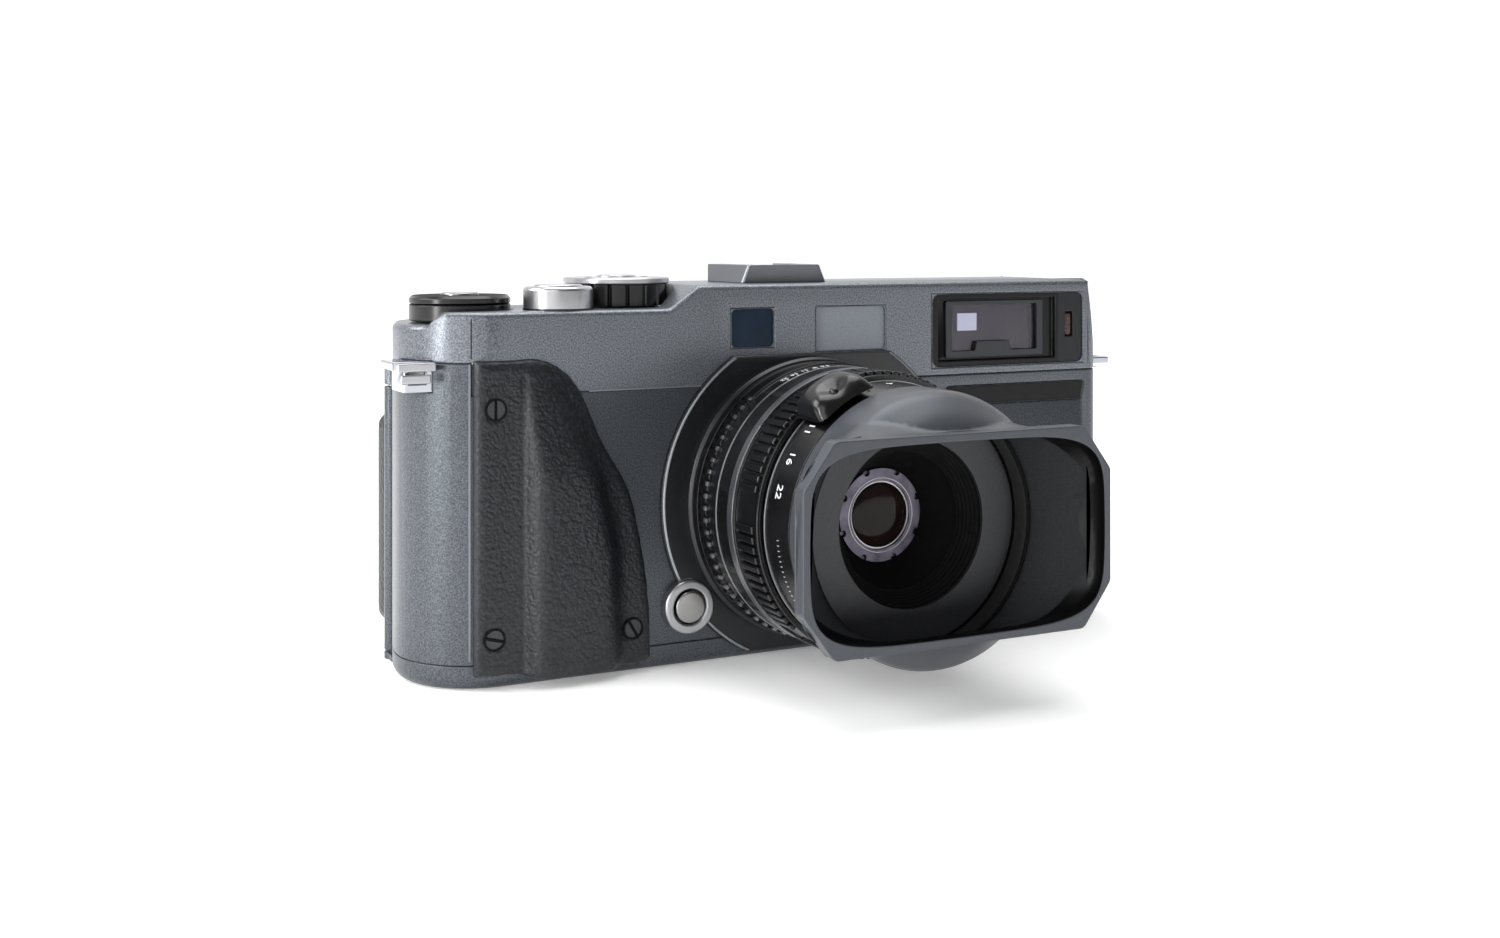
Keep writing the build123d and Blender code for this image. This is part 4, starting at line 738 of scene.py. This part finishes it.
# the tab: a smooth hump that falls to the ring all round, hollowed in front for the fingertip
tab_angle, tab_spread, tab_distance, tab_reach, tab_foot, tab_height = 119, 13, 34.7, 5.0, 27.6, 3.8
saddle = bmesh.new()
bmesh.ops.create_grid(saddle, x_segments=48, y_segments=24, size=0.5)
for vertex in saddle.verts:
    around, along = 2 * vertex.co.x, 2 * vertex.co.y
    dome = (1 - abs(along) ** 5) * (1 - abs(around) ** 5)
    hollow = 1.9 * math.exp(-((around / 0.5) ** 2) - (((along - 0.6) / 0.55) ** 2))
    radius = tab_foot + (tab_height - hollow) * dome
    vertex.co = at_lens(radius, tab_angle - tab_spread * around, tab_distance + tab_reach * along)
bmesh.ops.recalc_face_normals(saddle, faces=saddle.faces)
bmesh.ops.solidify(saddle, geom=saddle.faces, thickness=0.6 * mm)
bmesh.ops.recalc_face_normals(saddle, faces=saddle.faces)
finish_piece("tab_saddle", saddle, [anodised], "focus_ring", "black_paint", bend=60)
knob = bmesh.new()
bmesh.ops.create_uvsphere(knob, u_segments=24, v_segments=12, radius=1.0 * mm)
bmesh.ops.translate(knob, verts=knob.verts, vec=at_lens(29.9, 120.0, 37.6))
finish_piece("tab_knob", knob, [anodised], "focus_ring", "black_paint")

# Inner barrel and aperture ring. The sliding barrel has a cone with light traps in front of the
# glass and a fine filter thread; the aperture ring turns on it, with its stops filled in white.
dress("inner_tube", "lens_core", [optical_black], "inner_barrel", "black_paint", 0.1)
# five ridges step down the cone
ridge_in, ridge_back = 0.45, 0.75
traps = [(16.45, 41.4), (16.45, 40.9)]
for ridge in range(5):
    for radius, distance in ((15.9, 40.6), (16.1, 40.2)):
        traps.append((radius - ridge_in * ridge, distance - ridge_back * ridge))
traps += [(13.6, 37.2), (13.9, 36.7), (16.5, 41.0)]
finish_piece("light_traps", turned(traps), [optical_black], "inner_barrel", "black_paint", bend=15)
thread_turns, pitch = 7, 0.5
thread = [(24.52, 42.3)]
for turn in range(thread_turns):
    thread += [(24.15, 42.5 + pitch * turn), (24.45, 42.75 + pitch * turn)]
thread += [(24.52, 46.0)]
finish_piece("filter_thread", turned(thread), [matt_black], "inner_barrel", "black_paint", bend=15)
dress("stop_ring", "aperture_ring", [anodised], "aperture_ring", "black_paint", 0.15)
finish_piece(
    "stop_ring_trim", band(27.12, 26.7, 31.35, 31.75), [satin_steel], "aperture_ring", "steel", edge=0.06
)
stop_marks = [
    (stop, 3.0, angle, 35.4)
    for stop, angle in (("22", 164.5), ("16", 150), ("11", 135.5), ("8", 121), ("5.6", 106.5), ("4", 92))
]
stop_marks += [("l", 0.9, 184 + 2.2 * dot, 36.6) for dot in range(14)]
finish_piece("stop_numbers", engraved(stop_marks, 26.85), [white_fill], "aperture_ring", "frosted")

# Front of the lens. A bare grey anodised ring holds the cone, and a notched cell of pale metal holds
# the front glass, which shows brown over black. The rear glass sits behind the iris.
ring_grey, tree, shader, place = start_finish("grey_anodised_ring", "#303236", Roughness=0.42)
shade(tree, shader, noise(tree, place, 0.5), "#2a2b2e", "#3b3c40")
dress("bare_ring", "name_ring", [ring_grey], "inner_barrel", "grey_ring", 0.15)
pale_metal, tree, shader, place = start_finish("pale_cell_metal", "#6f6b78", Metallic=0.85, Roughness=0.32)
shade(tree, shader, noise(tree, place, 3), "#2b2731", "#7b7684")
# the cell's bore is opened a little, for the beads that hold the glass
cell_bore, open_bore = 6.4, 6.8
mesh = cad_copy("front_cell")
for vertex in mesh.verts:
    radius, angle, distance = lens_place(vertex.co)
    if radius < cell_bore:
        vertex.co = at_lens(open_bore, angle, distance)
finish_piece("glass_cell", mesh, [pale_metal], "inner_barrel", "steel", ["front_cell"], 0.15)
beads = join([band(6.9, 6.5, 29.0, 29.9, 96), band(7.55, 7.35, 30.2, 30.42, 96)])
finish_piece("glass_beads", beads, [satin_steel], "inner_barrel", "steel", edge=0.06)
lens_glass, tree, shader, place = start_finish(
    "coated_lens_glass", "#0b090e", Roughness=0.06, IOR=1.45, Specular_IOR_Level=0.15
)
shader.inputs["Coat Weight"].default_value = 0.06
shader.inputs["Coat Tint"].default_value = linear("#b6a6d8")
shade(tree, shader, noise(tree, place, 4, 1.0), "#08070a", "#30211f")
glass_radius, glass_edge, glass_bulge = 6.5, 29.2, 0.8
dome = [(0, 27.4), (glass_radius, 27.4), (glass_radius, glass_edge)]
for turn in range(15, 90, 15):
    angle = math.radians(turn)
    dome.append((glass_radius * math.cos(angle), glass_edge + glass_bulge * math.sin(angle)))
dome += [(0, glass_edge + glass_bulge)]
finish_piece(
    "front_glass", turned(dome, 96), [lens_glass], "inner_barrel", "lens_glass", ["lens_glasses"], bend=40
)
rear_glass = turned(((0, 15.0), (6.0, 15.3), (9.9, 16.2), (9.9, 18.0), (0, 18.0)), 96)
finish_piece("rear_glass", rear_glass, [lens_glass], "inner_barrel", "lens_glass", bend=40)

# Lens hood. A die-cast hood in smooth grey enamel, with flocked cloth on its walls inside and black
# paint in front of it. It is clamped on the front of the barrel and moves with it.
hood_enamel, tree, shader, place = start_finish(
    "smooth_grey_enamel", "#44474c", Metallic=0.35, Roughness=0.38
)
shade(tree, shader, noise(tree, place, 0.45), "#404348", "#4c4f55")

# the flock ends in a wavy line 4 to 6 mm behind the rim, with a wave every 15 mm
wave_turn, wave_height, flock_front = 2 * math.pi / 15, 0.9, 55.4
flocked, tree, shader, place = start_finish(
    "flocked_cloth_and_gloss", "#1c1d1f", Roughness=0.6, Specular_IOR_Level=0.25
)
axes = add_node(tree, "ShaderNodeSeparateXYZ", {"Vector": place})
swing = add_node(
    tree,
    "ShaderNodeMath",
    {0: axes.outputs["Z"], 1: wave_turn / mm, 2: -wave_turn * lens_z},
    operation="MULTIPLY_ADD",
)
wave = add_node(tree, "ShaderNodeMath", {0: swing.outputs["Value"]}, operation="COSINE")
border = add_node(
    tree,
    "ShaderNodeMath",
    {0: wave.outputs["Value"], 1: wave_height * mm, 2: (front_y - flock_front) * mm},
    operation="MULTIPLY_ADD",
)
cloth = add_node(
    tree, "ShaderNodeMath", {0: axes.outputs["Y"], 1: border.outputs["Value"]}, operation="GREATER_THAN"
)
fibres = blend(tree, noise(tree, place, 0.4), linear("#1b1c1e"), linear("#2f3033"))
wall = blend(tree, cloth.outputs["Value"], linear("#030304"), fibres)
tree.links.new(wall, shader.inputs["Base Color"])
roughen(tree, shader, cloth.outputs["Value"], 0.4, 0.85)
# the lined walls face the lens axis, by more than a slope, and end just behind the rim
lined_slope, lined_front, rim_depth = 0.05, 59.9, 0.6
mesh = cad_copy("lens_hood")
for face in mesh.faces:
    centre = face.calc_center_median()
    arm = centre - lens_centre
    inward = face.normal.x * arm.x + face.normal.z * arm.z < -lined_slope * math.hypot(arm.x, arm.z)
    face.material_index = int(inward and -arm.y < lined_front * mm)
rim_y = min(vertex.co.y for vertex in mesh.verts) + rim_depth * mm


def hood_rim(edge):
    """Whether an edge lies on the hood's rim or is a sharp one elsewhere."""
    on_rim = all(vertex.co.y < rim_y for vertex in edge.verts)
    return sharper(30 if on_rim else 60)(edge)


finish_piece(
    "hood", mesh, [hood_enamel, flocked], "inner_barrel", "dark_paint", ["lens_hood"], 0.3, only=hood_rim
)
# a bright steel band at the hood's seat: painted highlight of its rim
hood_seat_shine = band(25.6, 25.2, 46.1, 46.45)
finish_piece("hood_seat_highlight", hood_seat_shine, [satin_steel], "inner_barrel", "steel", edge=0.08)

# Mode dial in the corner well. A turned black dial with a fine groove round its side and a dished
# steel button in its middle.
mode_centre, mode_top, mode_radius = Vector((-69.5, 0.0)), 77.6, 10.35
shaft_radius, shaft_foot = 1.98, 68.6


def upright(profile, centre, steps=96):
    """A turned piece about an upright axis, from its profile of radius and height."""
    return spun(profile, Vector((*centre, 0)) * mm, Vector((0, 0, 1)), steps)


shaft = [(0, shaft_foot), (shaft_radius, shaft_foot)]
knob = shaft + [(shaft_radius, 72.3), (10.0, 72.3), (mode_radius, 72.6)]
# the groove round the side, the rounded rim and the well of the button, by their depth from the top
for radius, depth in ((mode_radius, 1.95), (10.05, 1.85), (10.05, 1.65), (mode_radius, 1.55)):
    knob.append((radius, mode_top - depth))
for radius, depth in ((mode_radius, 0.6), (9.75, 0), (4.25, 0), (4.2, 2.2), (0, 2.2)):
    knob.append((radius, mode_top - depth))
mesh = upright(knob, mode_centre)
for face in mesh.faces:
    face.material_index = int(face.normal.z > 0.9)
finish_piece(
    "mode_knob",
    mesh,
    [anodised, optical_black],
    "mode_dial",
    "black_paint",
    ["mode_dial"],
    0.12,
    bend=20,
)
dress("mode_button", "mode_lock_button", [rail_steel], "mode_lock_button", "steel", 0.2)

# Shutter release. A turned satin collar is screwed down on a thin black washer, and a dished button
# springs in it.
shutter_centre = Vector((-51.7, -10.0))
washer = upright(((7.3, 74.62), (7.3, 74.95), (6.6, 74.95), (6.6, 74.62)), shutter_centre)
finish_piece("collar_washer", washer, [anodised], "camera_body", "black_metal")
dress("shutter_collar", "release_collar", [satin_steel], "camera_body", "steel", 0.2)
dress("shutter_cap", "shutter_button", [satin_steel], "shutter_button", "steel", 0.2)

# Speed dial over the compensation ring. The ring is black anodised, with a notch milled at every
# twenty degrees, and the dial is a thin satin disc with a raised button and two black notches.
speed_centre = Vector((-34.6, 0.0))
ring_radius, notch_radius, ring_bore, ring_foot, ring_height = 11.1, 10.45, 2.06, 74.9, 4.6
notch_step, notch_half = 20, 0.5
mesh = bmesh.new()
for radius in (ring_radius, ring_bore):
    bmesh.ops.create_circle(mesh, cap_ends=False, segments=144, radius=radius * mm)
bmesh.ops.bridge_loops(mesh, edges=mesh.edges)
wall = bmesh.ops.extrude_face_region(mesh, geom=list(mesh.faces), use_keep_orig=True)
raised = [item for item in wall["geom"] if isinstance(item, bmesh.types.BMVert)]
bmesh.ops.translate(mesh, verts=raised, vec=(0, 0, ring_height * mm))
for vertex in mesh.verts:
    turn = math.degrees(math.atan2(vertex.co.y, vertex.co.x)) % notch_step
    in_notch = turn < notch_half or turn > notch_step - notch_half
    if vertex.co.xy.length > 10 * mm and in_notch:
        vertex.co.xy *= notch_radius / ring_radius
bmesh.ops.translate(mesh, verts=mesh.verts, vec=Vector((*speed_centre, ring_foot)) * mm)
bmesh.ops.recalc_face_normals(mesh, faces=mesh.faces)
finish_piece(
    "compensation_knurl",
    mesh,
    [anodised],
    "compensation_ring",
    "black_metal",
    ["compensation_ring"],
    0.12,
    bend=40,
)
disc = shaft + [(shaft_radius, 79.55), (11.1, 79.55), (11.4, 79.8), (11.4, 80.65), (11.15, 80.9)]
disc += [(4.4, 80.9), (4.2, 81.2), (3.8, 81.4), (0, 81.4)]
mesh = upright(disc, speed_centre)
finish_piece("speed_disc", mesh, [satin_steel], "speed_dial", "black_metal", ["speed_dial"], bend=20)
notches = []
for x in (speed_centre.x - 6.5, speed_centre.x + 6.5):
    notches.append(block((x - 0.55, -0.9, 80.85), (x + 0.55, 0.9, 80.97)))
finish_piece("speed_disc_notches", join(notches), [anodised], "speed_dial", "black_metal", edge=0.04)

# Hot shoe. Two bent rails on a base plate of satin nickelled brass, screwed to the deck. The front
# lip closes it, with its corners cut back.
shoe_steel, tree, shader, place = start_finish("satin_nickel", "#7e8085", Metallic=1.0, Roughness=0.34)
roughen(tree, shader, noise(tree, place, 4), 0.3, 0.38)
mesh = cad_copy("hot_shoe")
shoe_slope = 1.7
for vertex in mesh.verts:
    # the front corners slope in towards the top
    side = vertex.co.x / mm - lens_x
    if vertex.co.y < -6.8 * mm and vertex.co.z > 83 * mm and abs(side) > 9:
        vertex.co.x -= math.copysign(shoe_slope * mm, side)
finish_piece("shoe", mesh, [shoe_steel], "camera_body", "black_metal", ["hot_shoe"], 0.2)

# Strap lugs. Polished chromed steel: a bracket let into the left end, with a satin roller in it and a
# satin plate over it, and a flat eye on the right.
chrome, tree, shader, place = start_finish("polished_chrome", "#aeb0b7", Metallic=1.0, Roughness=0.12)
roughen(tree, shader, noise(tree, place, 1.2), 0.06, 0.16)
dress("lugs", "strap_lugs", [chrome], "camera_body", "chrome", 0.35)
roller = block((-83.5, -10.9, 60.5), (-80.1, -9.4, 63.5))
roller_lip = block((-85.9, -15.12, 60.8), (-79.9, -14.4, 62.6))
finish_piece("lug_roller", join([roller, roller_lip]), [satin_steel], "camera_body", "chrome", edge=0.3)
lug_plate = block((-86.6, -15.25, 63.2), (-78.9, -3.2, 64.9))
finish_piece("lug_plate", lug_plate, [satin_steel], "camera_body", "chrome", edge=0.3)

# Back door. An enamelled door on a hinge pin, with a film window and a small display let into it,
# a moulded rubber thumb rest, and a sprung black pressure plate inside.
dress("door", "back_door", [shaded_enamel], "back_door", "dark_paint", 0.25)
thumb_pad = softened("thumb_rest", 0.6, 8, lambda point: point.y > 18.4 or point.x < -79.5)
finish_piece("thumb_pad", thumb_pad, [rubber], "back_door", "grip_rubber", ["thumb_rest"], bend=60)
dress("door_panes", "door_windows", [blue_glass], "back_door", "range_glass", 0.1)
dress("film_pressure_plate", "pressure_plate", [moulded], "back_door", "black_plastic", 0.15)
dress("latch", "door_latch", [moulded], "door_latch", "black_metal", 0.25)

# Eyepiece and format selector, on the back. A moulded ring is screwed round a coated glass, and an
# anodised knob turns on its shaft in the cover.
dress("eyepiece_ring", "eyepiece_frame", [moulded], "camera_body", "black_metal", 0.2)
dress("eyepiece_pane", "eyepiece_glass", [lens_glass], "camera_body", "window_glass", 0.1)
dress("format_knob", "format_selector", [anodised], "format_selector", "black_metal", 0.2)

# Studio: a pale floor, a large soft light from behind on the left, a soft light overhead, a tall
# strip at the left and a weak light in front, with a sky that is white only behind the object.
floor_white, tree, shader, place = start_finish("white_paper", "#f6f6f6", Roughness=0.9)
shader.inputs["Emission Color"].default_value = (1, 1, 1, 1)
# the paper glows less round the camera: a painted shadow, added to its soft cast shadow
painted_shadow_middle = Vector((0.05, -0.08, 0.0))
away = add_node(tree, "ShaderNodeVectorMath", {0: place, 1: painted_shadow_middle}, operation="DISTANCE")
glow_and_painted_shadow = add_node(
    tree,
    "ShaderNodeMapRange",
    {"Value": away.outputs["Value"], "From Min": 0.06, "From Max": 0.32, "To Min": 0.2, "To Max": 0.52},
    interpolation_type="SMOOTHSTEP",
)
tree.links.new(glow_and_painted_shadow.outputs["Result"], shader.inputs["Emission Strength"])
mesh = bmesh.new()
bmesh.ops.create_grid(mesh, x_segments=1, y_segments=1, size=6.0)
data = bpy.data.meshes.new("floor")
mesh.to_mesh(data)
mesh.free()
data.materials.append(floor_white)
floor = bpy.data.objects.new("floor", data)
floor.location.z = cad_low.z
bpy.context.scene.collection.objects.link(floor)


def soft_light(name, spot, target, size, power):
    """A soft light of a width and a height that faces a target."""
    lamp = bpy.data.lights.new(name, "AREA")
    lamp.shape = "RECTANGLE"
    lamp.size, lamp.size_y = size
    lamp.energy = power
    light = bpy.data.objects.new(name, lamp)
    light.location = spot
    light.rotation_euler = (Vector(target) - Vector(spot)).to_track_quat("-Z", "Y").to_euler()
    bpy.context.scene.collection.objects.link(light)


middle = (0.0, 0.0, 0.04)
soft_light("key_light", (-1.1, 0.35, 0.8), middle, (0.9, 0.9), 16)
soft_light("top_light", (0.1, 0.1, 1.3), middle, (1.1, 1.1), 14)
soft_light("front_light", (-0.85, -1.0, 0.6), middle, (0.8, 0.8), 4)
soft_light("strip_light", (-1.0, -0.3, 0.15), middle, (0.14, 0.7), 6.5)

sky = bpy.data.worlds.new("studio_sky")
bpy.context.scene.world = sky
sky.use_nodes = True
tree = sky.node_tree
direction = add_node(tree, "ShaderNodeTexCoord").outputs["Generated"]
bright_side = Vector((0.44, 0.86, 0.25)).normalized()
behind = add_node(tree, "ShaderNodeVectorMath", {0: direction, 1: bright_side}, operation="DOT_PRODUCT")
glow = add_node(
    tree,
    "ShaderNodeMapRange",
    {"Value": behind.outputs["Value"], "From Min": 0.1, "From Max": 0.82, "To Min": 0.2, "To Max": 1.15},
)
tree.links.new(glow.outputs["Result"], tree.nodes["Background"].inputs["Strength"])
tree.nodes["Background"].inputs["Color"].default_value = (1, 1, 1, 1)
bpy.context.scene.view_settings.view_transform = "Standard"

lens = bpy.data.cameras.new("camera")
lens.sensor_width = 36
lens.lens = 39.4
lens.shift_y = -0.1544
lens.clip_start = 0.01
camera = bpy.data.objects.new("camera", lens)
camera.location = Vector((-171.155, -329.537, 89.456)) * mm
camera.rotation_euler = (math.radians(90), 0, math.radians(-27.166))
bpy.context.scene.collection.objects.link(camera)
bpy.context.scene.camera = camera
